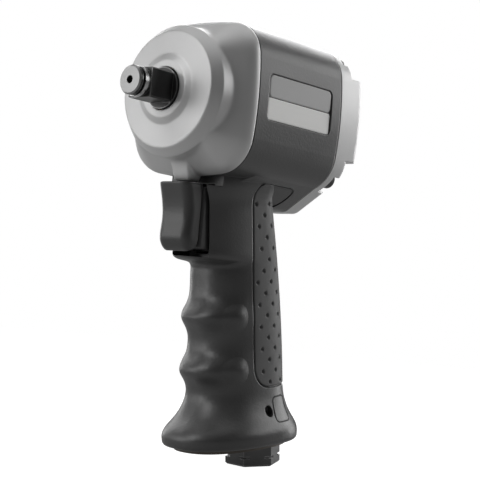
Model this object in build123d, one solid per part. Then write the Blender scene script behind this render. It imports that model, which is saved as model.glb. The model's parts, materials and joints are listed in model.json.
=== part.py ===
from build123d import *
import os
from math import cos, exp, pi, radians, sin, sqrt

# Air impact wrench, half-inch square drive.
# Millimetres. +X points out of the drive, +Y to the tool's left, +Z up.
# The origin is on the drive axis, at the front face of the anvil's round collar,
# where a socket comes to rest.

# Square drive
drive_square = 12.7
drive_corner_radius = 8.6
drive_length = 12.8
nose_length = 6.3
nose_radius = 6.3
tip_chamfer = 0.7
tip_hole_radius = 1.75
tip_hole_depth = 6.0
collar_radius = 8.9
collar_length = 1.0
ring_groove_start = 13.6
ring_groove_width = 3.7
ring_groove_radius = 4.6
friction_ring_setback = 0.5
friction_ring_width = 1.9
friction_ring_radius = 6.5
friction_ring_wall = 0.9
friction_ring_gap = 1.6
ring_cushion_radius = 0.42

# Hammer case
boss_height = 1.0
boss_base_radius = 15.5
boss_top_radius = 12.5
nose_hole_room = 0.3
drum_face_radius = 20.0
drum_crest_radius = 25.4
drum_crest_setback = 1.2
drum_radius = 28.6
drum_rim_round = 1.2
drum_depth = 5.2
shoulder_hollow = 0.3
flange_depth = 3.0
flange_edge_round = 1.2
case_depth = 21.7
case_wall = 5.0
case_cavity_radius = 24.8
channel_floor_radius = 27.4
channel_front_offset = 8.2
channel_floor_length = 3.2
channel_corner_radius = 1.5
channel_sweep_length = 1.5
channel_sweep_rise = 2.6
channel_top_z = 22.5
channel_bottom_z = -18.0
lower_channel_half_width = 15.0
channel_spread = 5.0
lug_half_width = 4.6
lug_bottom_z = -37.0
lug_top_z = -27.0
lug_depth = 7.7
lug_edge_round = 1.0
hub_radius = 14.0
hub_length = 4.8

# Barrel of the motor housing
barrel_half_width = 34.0
barrel_half_height = 33.8
barrel_drop = 0.6
barrel_corner_radius = 17.0
barrel_bulge = 0.92
barrel_length = 56.4
gasket_thickness = 0.5
gasket_inset = 0.3
keel_top_z = -20.0
keel_top_half_width = 18.0
keel_flank_z = -30.5
keel_flank_half_width = 25.2
keel_bottom_z = -43.0
keel_bottom_half_width = 6.5
keel_corner_radius = 6.0
keel_setback = 3.3
keel_bow_half_width = 10.0
keel_bow_length = 14.0
front_bore_radius = 25.4
motor_bore_radius = 26.6
motor_shoulder_depth = 16.8

# Label recess on the left side
label_front_setback = 6.3
label_length = 43.8
label_top_z = 10.7
label_bottom_z = -9.4
label_recess_depth = 0.9
label_corner_radius = 2.5

# Rear cover
cover_depth = 10.0
band_depth = 16.0
band_top_z = 19.0
band_bottom_z = -18.5
cover_edge_round = 3.0
bolt_edge_y = 12.0
bolt_edge_z = 8.0
bolt_radius = 2.5
bolt_head_radius = 4.3
bolt_head_height = 4.6
bolt_key_flats = 4.0
bolt_key_depth = 2.4
bolt_seat_depth = 4.0
bolt_seat_radius = 5.6
bolt_reach = 2.2
bolt_hole_spare = 0.4
washer_thickness = 1.0
washer_radius = 4.7

# Handle, along its raked axis from a point under the barrel
grip_rake = 7.85
grip_top_x = -52.3
grip_top_z = -35.0
grip_start = -12.0
grip_length = 114.0
grip_power = 2.4
section_pitch = 4.0
chin_section_pitch = 1.5
grip_section_points = 16
pocket_front = 33.9
pocket_end = 25.0
chin_reach = 0.6
chin_place = 29.3
chin_spread = 1.8
chin_end = 30.0
throat_start = 34.8
throat_end = 37.0
grip_front_top = 20.5
grip_front_foot = 23.8
ridge_height = 6.0
ridge_spread = 3.9
ridge_places = (57.0, 80.3)
flare_start = 89.0
foot_front_flare = 13.9
foot_rear_flare = 6.0
foot_side_flare = 6.4
foot_rim_height = 6.5
foot_edge_round = 2.2
grip_rear_top = 13.5
grip_rear_foot = 23.0
grip_rear_start = 5.0
grip_half_width_top = 16.8
grip_half_width_foot = 18.0
grip_neck_flare = 3.0
grip_neck_length = 9.0
pocket_roof_z = -38.3
inlay_thickness = 1.6
inlay_core_front = 12.0
inlay_core_sections = 7
inlay_front = 7.5
inlay_top = -2.0
inlay_bottom = 89.4
inlay_corner_radius = 10.0
inlay_top_corner_radius = 6.0
inlay_tongue_front_x = -50.0
inlay_tongue_back_x = -72.6
inlay_tongue_top_z = -33.8
inlay_tongue_bottom_z = -42.5
inlay_tongue_round = 4.0

# Trigger and throttle
trigger_half_width = 8.8
trigger_top_z = -38.2
trigger_bottom_z = -68.5
trigger_top_front_x = -11.0
trigger_waist_front_x = -14.5
trigger_waist_z = -54.0
trigger_toe_front_x = -14.0
trigger_toe_z = -61.0
trigger_back_x = -31.0
trigger_edge_round = 3.6
trigger_top_lean = 0.3
trigger_cap_back_x = -22.0
trigger_stem_half_width = 6.0
trigger_tail_length = 10.0
trigger_tail_half_width = 6.0
trigger_tail_top_z = -57.0
trigger_tail_bottom_z = -66.0
trigger_travel = 6.0
slot_side_gap = 1.8
tail_side_gap = 0.5
slot_end_gap = 0.7
slot_back_gap = 1.0
throttle_z = -48.5
rod_radius = 2.5
rod_socket_depth = 4.0
trigger_pin_z = -61.5
trigger_pin_radius = 1.5
trigger_pin_back = 6.5
trigger_pin_half_length = 12.5
throttle_bore_radius = 6.6
throttle_bore_end_x = -65.0
throttle_bushing_length = 13.0
throttle_bushing_inset = 0.5
throttle_gallery_radius = 4.3
throttle_gallery_length = 8.0
throttle_port_radius = 2.2
valve_head_radius = 5.6
valve_head_length = 3.0
valve_seat_land = 0.02
valve_guide_radius = 2.0
valve_guide_length = 2.2
spring_wire_radius = 0.4
spring_coil_radius = 4.0
spring_turns = 4
running_clearance = 0.04
fit_clearance = 0.05
soft_clearance = 0.3
cut_spare = 1.0

# Air inlet, along the handle's axis
inlet_offset = -12.0
inlet_shank_radius = 10.5
inlet_shank_length = 21.7
inlet_hex_flats = 22.0
inlet_hex_height = 10.2
inlet_hex_turn = -22.2
inlet_hex_chamfer = 0.8
inlet_thread_radius = 5.7
inlet_thread_length = 12.0
inlet_throat_radius = 4.4
inlet_mark_place = 6.1
inlet_mark_half_width = 0.5
inlet_mark_room = 0.4
seal_wire_radius = 0.9
seal_place = 10.2
screen_radius = 5.15
screen_thickness = 0.8
screen_hole_radius = 0.55
screen_hole_pitch = 1.9
passage_radius = 4.2
foot_pin_rise = 14.7
foot_pin_offset = 0.1
foot_pin_radius = 1.9
foot_pin_setback = 3.4
foot_pin_mouth_radius = 2.5
foot_pin_mouth_depth = 3.0

# Exhaust through the foot
exhaust_offset = -2.0
exhaust_foot_offset = 8.0
exhaust_spread = 10.4
exhaust_radius = 2.7
foot_cavity_depth = 6.0
foot_wall = 5.0
deflector_thickness = 3.0
deflector_stand_out = 1.7
deflector_slot_length = 13.0
deflector_slot_width = 2.4
deflector_slot_pitch = 5.0
deflector_slots = 4
deflector_slot_place = 11.0

# Impact mechanism
bushing_wall = 2.0
bushing_setback = 3.0
anvil_core_radius = 8.0
anvil_jaw_radius = 12.2
anvil_jaw_angle = 50.0
anvil_pilot_radius = 4.5
anvil_pilot_length = 3.4
cage_radius = 23.4
cage_plate_thickness = 3.6
cage_front_gap = 0.6
cage_front_bore = 10.0
cage_pillar_wall = 3.6
cage_pillar_angle = 52.0
cage_hub_radius = 11.0
cage_hub_length = 4.0
hammer_length = 7.8
hammer_gap = 0.3
hammer_radius = 19.0
hammer_bore = 12.9
hammer_jaw_bore = 9.4
hammer_jaw_angle = 44.0
hammer_jaw_root = 0.5
hammer_pin_circle = 16.0
hammer_pin_radius = 2.5
coupling_flats = 8.5

# Motor
end_plate_thickness = 7.5
end_plate_radius = 26.3
bearing_radius = 11.0
bearing_bore = 5.0
bearing_width = 6.0
bearing_race_wall = 1.7
bearing_ball_radius = 1.5
bearing_balls = 9
bearing_groove_radius = 1.6
shaft_hole_radius = 6.2
liner_length = 28.0
liner_bore_radius = 18.9
liner_bore_rise = 2.2
rotor_radius = 16.4
rotor_end_gap = 0.08
rotor_shaft_end = 4.0
rotor_shaft_room = 1.5
vane_count = 6
vane_thickness = 2.4
vane_depth = 8.5
vane_tip_inset = 0.1
liner_port_radius = 2.6
liner_port_pitch = 7.0
motor_port_radius = 2.0
motor_port_spread = 4.0
motor_port_place = 16.0
dowel_radius = 1.5
dowel_circle = 23.4
dowel_reach = 3.0
dowel_angle = -60.0

# Reverse valve under the motor
reverse_z = -34.6
reverse_bore_radius = 6.4
reverse_bushing_wall = 1.2
reverse_length = 36.0
feed_radius = 2.5
reverse_stem_radius = 3.0
reverse_port_width = 4.0
reverse_port_depth = 2.4
knob_radius = 5.8
knob_length = 5.6
knob_gap = 0.5
knob_flutes = 10
knob_flute_radius = 1.1
knob_screw_radius = 1.5
knob_screw_head_radius = 2.8
knob_screw_head_height = 1.8
knob_screw_reach = 8.0
knob_screw_key_flats = 2.4
stop_pin_radius = 1.2
stop_groove_depth = 1.6
stop_pin_place = 5.0
stop_pin_setback = 0.8
stop_groove_angle = 170.0

# Places along the drive axis, worked out from front to back
tip_x = drive_length + nose_length
boss_top_x = -collar_length
nose_face_x = boss_top_x - boss_height
case_back_x = nose_face_x - case_depth
flange_front_x = case_back_x + flange_depth
drum_back_x = nose_face_x - drum_depth
cavity_front_x = nose_face_x - case_wall
housing_front_x = case_back_x - gasket_thickness
housing_back_x = housing_front_x - barrel_length
cover_front_x = housing_back_x - gasket_thickness
cover_back_x = cover_front_x - cover_depth
band_back_x = cover_front_x - band_depth
shoulder_x = housing_front_x - motor_shoulder_depth
liner_front_x = shoulder_x - end_plate_thickness
liner_back_x = liner_front_x - liner_length
plate_back_x = liner_back_x - end_plate_thickness
hub_back_x = cavity_front_x - hub_length
cage_front_x = hub_back_x - cage_front_gap
front_hammer_x = cage_front_x - cage_plate_thickness - hammer_gap
rear_hammer_x = front_hammer_x - hammer_length - hammer_gap
cage_rear_plate_x = rear_hammer_x - hammer_length - hammer_gap
cage_back_x = cage_rear_plate_x - cage_plate_thickness
cage_hub_back_x = cage_back_x - cage_hub_length
bolt_seat_x = cover_front_x - bolt_seat_depth
bolt_tip_x = case_back_x + bolt_reach
bolt_offset_y = barrel_half_width - bolt_edge_y
bolt_offset_z = barrel_half_height - bolt_edge_z
bolt_places = [(y, z) for y in (-bolt_offset_y, bolt_offset_y)
               for z in (-bolt_offset_z - barrel_drop, bolt_offset_z - barrel_drop)]
slot_back_x = trigger_back_x - trigger_travel - slot_back_gap
slot_half_width = trigger_half_width + slot_side_gap
trigger_tail_x = trigger_back_x - trigger_tail_length
trigger_pin_x = trigger_back_x - trigger_pin_back
bushing_front_x = slot_back_x - throttle_bushing_inset
bushing_back_x = bushing_front_x - throttle_bushing_length
valve_back_x = bushing_back_x - valve_seat_land - valve_head_length
reverse_front_x = housing_back_x + reverse_length
stop_pin_x = cover_front_x - stop_pin_place
feed_x = bushing_back_x + throttle_gallery_length / 2.0
motor_port_x = housing_back_x + motor_port_place
knob_back_x = cover_back_x - knob_gap - knob_length
reverse_bushing_bore = reverse_bore_radius - reverse_bushing_wall

rake_sine = sin(radians(grip_rake))
rake_cosine = cos(radians(grip_rake))
inlet_hex_start = grip_length + deflector_stand_out + soft_clearance
inlet_top = inlet_hex_start - inlet_shank_length
seal_root_radius = inlet_shank_radius - fit_clearance - 2.0 * seal_wire_radius - fit_clearance
foot_pin_place = grip_length - foot_pin_rise
foot_pin_x = grip_top_x - foot_pin_place * rake_sine + foot_pin_offset * rake_cosine
foot_pin_z = grip_top_z - foot_pin_place * rake_cosine - foot_pin_offset * rake_sine
foot_pin_groove_radius = foot_pin_offset - inlet_offset - foot_pin_radius - 2.0 * fit_clearance
liner_port_x = grip_top_x


def rod(start, end, radius, y=0.0, z=0.0):
    """Round bar along X between two places on the drive's direction."""
    low, high = min(start, end), max(start, end)
    bar = Cylinder(radius, high - low, align=(Align.CENTER, Align.CENTER, Align.MIN))
    return Pos(low, y, z) * Rot(0, 90, 0) * bar


def tube(start, end, outer, inner, y=0.0, z=0.0):
    """Round tube along X."""
    low, high = min(start, end), max(start, end)
    return rod(low, high, outer, y, z) - rod(low - cut_spare, high + cut_spare, inner, y, z)


def block(x, y, z):
    """Box from three (low, high) pairs."""
    size = Box(x[1] - x[0], y[1] - y[0], z[1] - z[0], align=Align.MIN)
    return Pos(x[0], y[0], z[0]) * size


def turned(points):
    """Solid turned about the drive axis from (x, radius) corners."""
    outline = Polyline([(x, 0, radius) for x, radius in points], close=True)
    return revolve(make_face(outline), axis=Axis.X)


def sector(start, end, outer, inner, middle_angle, width_angle):
    """Part of a tube along X, as wide as an angle about the axis."""
    half = radians(width_angle / 2.0)
    reach = 2.0 * outer / cos(half)
    corners = [(0, 0), (reach * cos(half), -reach * sin(half)), (reach * cos(half), reach * sin(half))]
    low, high = min(start, end), max(start, end)
    wedge = extrude(Plane.YZ * make_face(Polyline(corners, close=True)), high - low)
    return tube(start, end, outer, inner) & (Rot(middle_angle, 0, 0) * Pos(low, 0, 0) * wedge)


def hex_bar(start, end, flats, y=0.0, z=0.0):
    """Hexagonal bar along X."""
    low, high = min(start, end), max(start, end)
    shape = extrude(RegularPolygon(flats / sqrt(3.0), 6), high - low)
    return Pos(low, y, z) * Rot(0, 90, 0) * shape


def barrel_places(inset=0.0):
    """Ends and middles of the barrel's eight tangent arcs: wide sides and round corners."""
    corner = Vector(barrel_half_width - barrel_corner_radius - barrel_bulge,
                    barrel_half_height - barrel_corner_radius - barrel_bulge)
    reach = corner.X ** 2 + corner.Y ** 2
    side_centre = Vector(((barrel_half_width - barrel_corner_radius) ** 2 - reach) / (2.0 * barrel_bulge),
                         0)
    top_centre = Vector(0,
                        ((barrel_half_height - barrel_corner_radius) ** 2 - reach) / (2.0 * barrel_bulge))
    to_side = (corner - side_centre).normalized()
    to_top = (corner - top_centre).normalized()
    radius = barrel_corner_radius - inset
    arc = [corner + way * radius for way in (to_side, (to_side + to_top).normalized(), to_top)]
    right, top = barrel_half_width - inset, barrel_half_height - inset
    quarter = [(place.X, place.Y) for place in arc]
    left = [(-y, z) for y, z in reversed(quarter)]
    upper = quarter + [(0, top)] + left
    lower = [(-y, -z) for y, z in upper]
    around = [(right, 0)] + upper + [(-right, 0)] + lower
    return [(y, z - barrel_drop) for y, z in around]


def arc_loop(x, places):
    """Closed outline across the drive axis, of arcs through every second place."""
    points = [Vector(x, y, z) for y, z in places]
    count = len(points)
    arcs = [ThreePointArc(points[index - 1], points[index], points[(index + 1) % count]).edge()
            for index in range(0, count, 2)]
    return Wire(arcs)


def barrel_prism(front, back, inset=0.0):
    """Length of the barrel's outer form."""
    return Solid.extrude(Face(arc_loop(front, barrel_places(inset))), Vector(back - front, 0, 0))


def keel_prism(front, back, inset=0.0):
    """Length of the keel under the barrel, with straight flanks and a round bottom."""
    half = [(keel_top_half_width, keel_top_z), (keel_flank_half_width, keel_flank_z),
            (keel_bottom_half_width, keel_bottom_z)]
    outline = make_face(Polyline(half + [(-y, z) for y, z in reversed(half)], close=True))
    outline = fillet(outline.vertices().group_by(Axis.Y)[0], keel_corner_radius)
    if inset:
        outline = offset(outline, -inset)
    return Pos(back, 0, 0) * extrude(Plane.YZ * outline, front - back)


def keel_form():
    """The housing's keel, narrowed to a bow over the trigger."""
    front = housing_front_x - keel_setback
    far = 2.0 * barrel_half_width
    rise = (keel_flank_half_width - keel_bow_half_width) / keel_bow_length
    bow = [(housing_back_x, far), (front - far / rise, far + keel_bow_half_width),
           (front, keel_bow_half_width)]
    plan = make_face(Polyline(bow + [(x, -y) for x, y in reversed(bow)], close=True))
    return keel_prism(front, housing_back_x) & extrude(plan, far, both=True)


def grip_point(along, forward, side):
    """Place on the handle: distance down its axis, forward from it and to the left."""
    x = grip_top_x - along * rake_sine + forward * rake_cosine
    z = grip_top_z - along * rake_cosine - forward * rake_sine
    return Vector(x, side, z)


def grip_plane(along, forward, side=0.0):
    """Plane across the handle's axis, facing the foot, with its X axis forward."""
    facing = (-rake_sine, 0, -rake_cosine)
    return Plane(origin=grip_point(along, forward, side), x_dir=(rake_cosine, 0, -rake_sine), z_dir=facing)


def ease(value, start, end):
    """Smooth rise from 0 at start to 1 at end."""
    share = min(1.0, max(0.0, (value - start) / (end - start)))
    return share * share * (3.0 - 2.0 * share)


def bump(value, middle, spread):
    """Smooth hill of height 1."""
    return exp(-0.5 * ((value - middle) / spread) ** 2)


def foot_share(along):
    """How far the foot's flare has opened, from 0 to 1."""
    share = (along - flare_start) / (grip_length - foot_rim_height - flare_start)
    return min(1.0, max(0.0, share)) ** 2


def grip_front(along):
    """Reach of the handle in front of its axis: pocket, chin, finger ridges and foot."""
    share = min(1.0, max(0.0, (along - throat_start) / (flare_start - throat_start)))
    low = grip_front_top + (grip_front_foot - grip_front_top) * share
    low += sum(ridge_height * bump(along, place, ridge_spread) for place in ridge_places)
    low += foot_front_flare * foot_share(along)
    high = pocket_front + chin_reach * bump(along, chin_place, chin_spread)
    return high + (low - high) * ease(along, chin_end, throat_start)


def grip_rear(along):
    """Reach of the handle behind its axis."""
    share = min(1.0, max(0.0, (along - grip_rear_start) / (flare_start - grip_rear_start)))
    reach = grip_rear_top + (grip_rear_foot - grip_rear_top) * (1.0 - (1.0 - share) ** 2)
    return reach + foot_rear_flare * foot_share(along)


def grip_half_width(along):
    """Half width of the handle: wider at the neck under the barrel and at the foot."""
    share = min(1.0, max(0.0, along / flare_start))
    width = grip_half_width_top + (grip_half_width_foot - grip_half_width_top) * share
    neck = min(1.0, max(0.0, (grip_neck_length - along) / grip_neck_length))
    return width + grip_neck_flare * neck ** 2 + foot_side_flare * foot_share(along)


def grip_outline(along, inset=0.0):
    """Closed outline of the handle across its axis."""
    return oval(along, grip_front(along) - inset, grip_rear(along) - inset, grip_half_width(along) - inset)


def oval(along, front, rear, half_width):
    """Closed oval across the handle's axis, with its own reach to the front and the rear."""
    places = []
    for index in range(grip_section_points):
        angle = 2.0 * pi * index / grip_section_points
        ahead, left = cos(angle), sin(angle)
        length = front if ahead > 0.0 else rear
        spread = abs(ahead / length) ** grip_power + abs(left / half_width) ** grip_power
        reach = spread ** (-1.0 / grip_power)
        places.append(grip_point(along, reach * ahead, reach * left))
    return Wire([Spline(places, periodic=True).edge()])


def even_steps(start, end, pitch):
    """Evenly spaced places from start up to, but not at, the end."""
    count = max(1, round((end - start) / pitch))
    return [start + (end - start) * index / count for index in range(count)]


def grip_form():
    """Outer form of the handle, from inside the barrel down to the foot."""
    places = even_steps(grip_start, pocket_end, section_pitch)
    places += even_steps(pocket_end, throat_end, chin_section_pitch)
    places += even_steps(throat_end, grip_length, section_pitch)
    return Solid.make_loft([grip_outline(along) for along in places + [grip_length]])


def grip_slab(start, end, inset):
    """Straight slab across the handle's foot, with the outline of the rim."""
    outline = grip_outline(grip_length - foot_rim_height, inset)
    shift = start - (grip_length - foot_rim_height)
    way = Vector(-rake_sine, 0, -rake_cosine)
    slab = Solid.extrude(Face(outline), way * (end - start))
    return slab.moved(Location(way * shift))


def grip_bar(start, end, radius, offset, side=0.0):
    """Round bar along the handle's axis."""
    bar = Cylinder(radius, end - start, align=(Align.CENTER, Align.CENTER, Align.MIN))
    return grip_plane(start, offset, side).location * bar


def passage(start, end, radius):
    """Straight round passage between two places."""
    return Solid.make_cylinder(radius, (end - start).length, Plane(origin=start, z_dir=end - start))


def at_bolts(piece):
    """Copies of a piece at the four bolt axes."""
    return [Pos(0, y, z) * piece for y, z in bolt_places]


def bolt_holes(start, end):
    """Clear holes for the four bolts."""
    return at_bolts(rod(start, end, bolt_radius + fit_clearance))


bush_outer = collar_radius + running_clearance + bushing_wall


def make_anvil():
    """Square drive, turned nose, round shank, two jaws and the rear pilot."""
    half = drive_square / 2.0
    square = block((0, drive_length), (-half, half), (-half, half))
    square = square & rod(-cut_spare, drive_length + cut_spare, drive_corner_radius)
    nose = turned([(drive_length - cut_spare, 0), (drive_length - cut_spare, nose_radius),
                   (tip_x - tip_chamfer, nose_radius),
                   (tip_x, nose_radius - tip_chamfer), (tip_x, 0)])
    groove = tube(ring_groove_start, ring_groove_start + ring_groove_width, collar_radius,
                  ring_groove_radius)
    tip_hole = rod(tip_x - tip_hole_depth, tip_x + cut_spare, tip_hole_radius)
    core_back = cage_rear_plate_x + hammer_gap
    shank = rod(0, cage_front_x, collar_radius)
    core = rod(cage_front_x, core_back, anvil_core_radius)
    pilot = rod(core_back, core_back - hammer_gap - anvil_pilot_length, anvil_pilot_radius)
    front_jaw = sector(front_hammer_x, front_hammer_x - hammer_length, anvil_jaw_radius, 1.0, 0,
                       anvil_jaw_angle)
    rear_jaw = sector(rear_hammer_x, rear_hammer_x - hammer_length, anvil_jaw_radius, 1.0, 180,
                      anvil_jaw_angle)
    return square + nose - groove - tip_hole + shank + core + pilot + front_jaw + rear_jaw


def make_friction_ring():
    """Split steel ring that grips the socket."""
    start = ring_groove_start + friction_ring_setback
    ring = tube(start, start + friction_ring_width, friction_ring_radius,
                friction_ring_radius - friction_ring_wall)
    half = friction_ring_gap / 2.0
    return ring - block((start - cut_spare, start + friction_ring_width + cut_spare), (-collar_radius, 0),
                        (-half, half))


def make_ring_cushion():
    """Rubber O-ring under the friction ring."""
    middle = ring_groove_start + friction_ring_setback + friction_ring_width / 2.0
    path_radius = ring_groove_radius + fit_clearance + ring_cushion_radius
    return Pos(middle, 0, 0) * Rot(0, 90, 0) * Torus(path_radius, ring_cushion_radius)


def make_anvil_bushing():
    """Plain bearing of the anvil in the nose of the case."""
    return tube(boss_top_x - bushing_setback, hub_back_x, bush_outer, collar_radius + running_clearance)


def channel_cutter():
    """Ring-shaped cutter for the side channels, with a round sweep up to the lip."""
    far = 2.0 * barrel_half_width
    front = nose_face_x - channel_front_offset
    corner = channel_corner_radius
    floor_end = front - corner - channel_floor_length
    sweep_x = flange_front_x + channel_sweep_length
    sweep_radius = channel_floor_radius + channel_sweep_rise
    walls = Polyline([(floor_end, 0, channel_floor_radius), (front - corner, 0, channel_floor_radius),
                      (front, 0, channel_floor_radius + corner), (front, 0, far), (flange_front_x, 0, far),
                      (flange_front_x, 0, barrel_half_width + cut_spare)])
    sweep_up = ThreePointArc((flange_front_x, 0, barrel_half_width + cut_spare), (sweep_x, 0, sweep_radius),
                             (floor_end, 0, channel_floor_radius))
    ring = revolve(make_face(walls.edges() + sweep_up.edges()), axis=Axis.X)
    low, high = channel_bottom_z, channel_top_z
    side_view = Polyline([(front, 0, low), (front, 0, high), (flange_front_x, 0, high + channel_spread),
                          (flange_front_x, 0, low - channel_spread)], close=True)
    side = extrude(make_face(side_view), far, dir=(0, 1, 0))
    half = lower_channel_half_width
    view_below = Polyline([(front, -half), (front, half), (flange_front_x, half + channel_spread),
                           (flange_front_x, -half - channel_spread)], close=True)
    below = extrude(make_face(view_below), far, dir=(0, 0, -1))
    return [ring & region for region in (side, mirror(side, Plane.XZ), below)]


def make_hammer_case():
    """Cast front: boss, drum, conical shoulder to the square lip, side channels and lug."""
    crest_x = nose_face_x - drum_crest_setback
    dome = ThreePointArc((nose_face_x, 0, drum_face_radius),
                         (nose_face_x - drum_crest_setback / 4.0, 0,
                          (drum_face_radius + drum_crest_radius) / 2.0),
                         (crest_x, 0, drum_crest_radius))
    front = Polyline([(drum_back_x, 0, 0), (boss_top_x, 0, 0), (boss_top_x, 0, boss_top_radius),
                      (nose_face_x, 0, boss_base_radius), (nose_face_x, 0, drum_face_radius)])
    rim = Polyline([(crest_x, 0, drum_crest_radius), (drum_back_x, 0, drum_radius), (drum_back_x, 0, 0)])
    drum = revolve(make_face(front.edges() + dome.edges() + rim.edges()), axis=Axis.X)
    crest = [edge for edge in drum.edges().filter_by(GeomType.CIRCLE)
             if abs(edge.radius - drum_crest_radius) < fit_clearance]
    drum = fillet(crest, drum_rim_round)
    square = [Vector(y, z) for y, z in barrel_places(flange_edge_round)]
    circle = [place.normalized() * drum_radius for place in square]
    between = [start + (end - start) * shoulder_hollow for start, end in zip(circle, square)]
    middle_x = (drum_back_x + flange_front_x) / 2.0
    shoulder = Solid.make_loft([arc_loop(x, [(place.X, place.Y) for place in places]) for x, places in
                                ((drum_back_x, circle), (middle_x, between), (flange_front_x, square))])
    lip = barrel_prism(flange_front_x, case_back_x)
    lip = fillet(lip.faces().sort_by(Axis.X)[-1].outer_wire().edges(), flange_edge_round)
    lug = block((case_back_x, case_back_x + lug_depth), (-lug_half_width, lug_half_width),
                (lug_bottom_z, lug_top_z))
    lug = fillet(lug.edges().filter_by(Axis.X).group_by(Axis.Z)[0], lug_edge_round)
    case = drum + shoulder + lip - channel_cutter() + lug
    case = case - rod(cavity_front_x, case_back_x - cut_spare, case_cavity_radius)
    case = case + rod(cavity_front_x + cut_spare, hub_back_x, hub_radius)
    case = case - rod(hub_back_x - cut_spare, boss_top_x - bushing_setback, bush_outer + fit_clearance)
    case = case - rod(hub_back_x, boss_top_x + cut_spare, collar_radius + nose_hole_room)
    return case - bolt_holes(case_back_x - cut_spare, bolt_tip_x + bolt_hole_spare)


def make_front_gasket():
    """Flat gasket between the case and the housing."""
    sheet = barrel_prism(case_back_x, housing_front_x, gasket_inset)
    sheet = sheet - rod(case_back_x + cut_spare, housing_front_x - cut_spare, front_bore_radius)
    return sheet - bolt_holes(case_back_x + cut_spare, housing_front_x - cut_spare)


def cover_outline(front, back, inset=0.0):
    """Length of the barrel with its keel, as at the rear joint."""
    return barrel_prism(front, back, inset) + keel_prism(front, back, inset)


def make_rear_gasket():
    """Flat gasket between the housing and the rear cover."""
    sheet = cover_outline(housing_back_x, cover_front_x, gasket_inset)
    sheet = sheet - rod(housing_back_x + cut_spare, cover_front_x - cut_spare, motor_bore_radius)
    sheet = sheet - rod(housing_back_x + cut_spare, cover_front_x - cut_spare, reverse_bore_radius, 0,
                        reverse_z)
    return sheet - bolt_holes(housing_back_x + cut_spare, cover_front_x - cut_spare)


def rear_edge_rounded(prism):
    """Rounds the rear rim of a form that ends at a flat face."""
    rim = prism.faces().sort_by(Axis.X)[0].outer_wire().edges()
    return fillet(rim, cover_edge_round)


def make_rear_cover():
    """Cast rear cover: corner seats for the bolts, raised middle band and the keel's end."""
    cover = rear_edge_rounded(barrel_prism(cover_front_x, cover_back_x))
    keel = rear_edge_rounded(keel_prism(cover_front_x, cover_back_x))
    band = rear_edge_rounded(barrel_prism(cover_front_x, band_back_x))
    far = 2.0 * barrel_half_width
    band = band & block((band_back_x - cut_spare, cover_front_x), (-far, far), (band_bottom_z, band_top_z))
    cover = cover + keel + band
    for y, z in bolt_places:
        pocket = rod(bolt_seat_x, band_back_x - cut_spare, bolt_seat_radius, y, z)
        outward = y / abs(y), z / abs(z)
        notch = block((band_back_x - cut_spare, bolt_seat_x), (0, far),
                      (-bolt_seat_radius, bolt_seat_radius))
        turn = 45.0 if outward[0] * outward[1] > 0 else -45.0
        turn = turn if outward[0] > 0 else turn + 180.0
        cover = cover - pocket - Pos(0, y, z) * Rot(turn, 0, 0) * notch
    cover = cover - bolt_holes(bolt_seat_x - cut_spare, cover_front_x + cut_spare)
    cover = cover - rod(cover_front_x + cut_spare, plate_back_x, end_plate_radius + fit_clearance)
    cover = cover - rod(plate_back_x + cut_spare, plate_back_x - rotor_shaft_end,
                        bearing_bore + rotor_shaft_room)
    cover = cover - rod(cover_front_x + cut_spare, cover_back_x - cut_spare,
                        reverse_stem_radius + running_clearance, 0,
                        reverse_z)
    return cover - stop_pin_hole()


def stop_pin_hole():
    """Cross hole for the pin that stops the reverse valve."""
    return Pos(stop_pin_x, 0, reverse_z) * Cylinder(stop_pin_radius + fit_clearance,
                                                    2.0 * barrel_half_width,
                                                    align=(Align.CENTER, Align.CENTER, Align.MAX))


def inlay_cutter():
    """Side view of the rubber inlay through the handle's width, less the core that it covers."""
    far = 2.0 * barrel_half_width
    length, height = far + inlay_front, inlay_bottom - inlay_top
    side_view = Plane(origin=grip_point(0, 0, -far), x_dir=(rake_cosine, 0, -rake_sine), z_dir=(0, 1, 0))
    outline = Rectangle(length, height)
    front = outline.vertices().group_by(Axis.X)[-1].sort_by(Axis.Y)
    outline = fillet(front[-1], inlay_corner_radius)
    front = outline.vertices().group_by(Axis.Y)[0].sort_by(Axis.X)
    outline = fillet(front[-1], inlay_top_corner_radius)
    outline = Pos((inlay_front - far) / 2.0, (inlay_top + inlay_bottom) / 2.0) * outline
    region = extrude(side_view * outline, 2.0 * far)
    start, end = inlay_top - inlay_corner_radius, inlay_bottom + inlay_corner_radius
    step = (end - start) / (inlay_core_sections - 1)
    core = Solid.make_loft([inlay_core_outline(start + step * index)
                            for index in range(inlay_core_sections)])
    return region - core


def inlay_tongues():
    """Ends of the inlay on both flanks of the keel, behind the handle."""
    front, back = inlay_tongue_front_x, inlay_tongue_back_x
    low, high = inlay_tongue_bottom_z, inlay_tongue_top_z
    outline = Pos((front + back) / 2.0, (low + high) / 2.0) * RectangleRounded(front - back, high - low,
                                                                               inlay_tongue_round)
    region = extrude(Plane.XZ * outline, 2.0 * barrel_half_width, both=True)
    shell = keel_form() - keel_prism(housing_front_x, housing_back_x, inlay_thickness)
    return (shell & region) - barrel_prism(housing_front_x, housing_back_x)


def inlay_core_outline(along):
    """Outline of the handle's core under the inlay, plain at the front."""
    return oval(along, inlay_core_front, grip_rear(along) - inlay_thickness,
                grip_half_width(along) - inlay_thickness)


def trigger_slot():
    """Pocket that the trigger and its tail slide in, open at the front."""
    half = slot_half_width
    deep = block((slot_back_x, 0), (-half, half),
                 (trigger_bottom_z - slot_end_gap, trigger_top_z + slot_end_gap))
    tail_half = trigger_tail_half_width + tail_side_gap
    tail = block((trigger_tail_x - trigger_travel - slot_back_gap, slot_back_x + cut_spare),
                 (-tail_half, tail_half),
                 (trigger_tail_bottom_z - slot_end_gap, trigger_tail_top_z + slot_end_gap))
    return deep + tail


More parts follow.
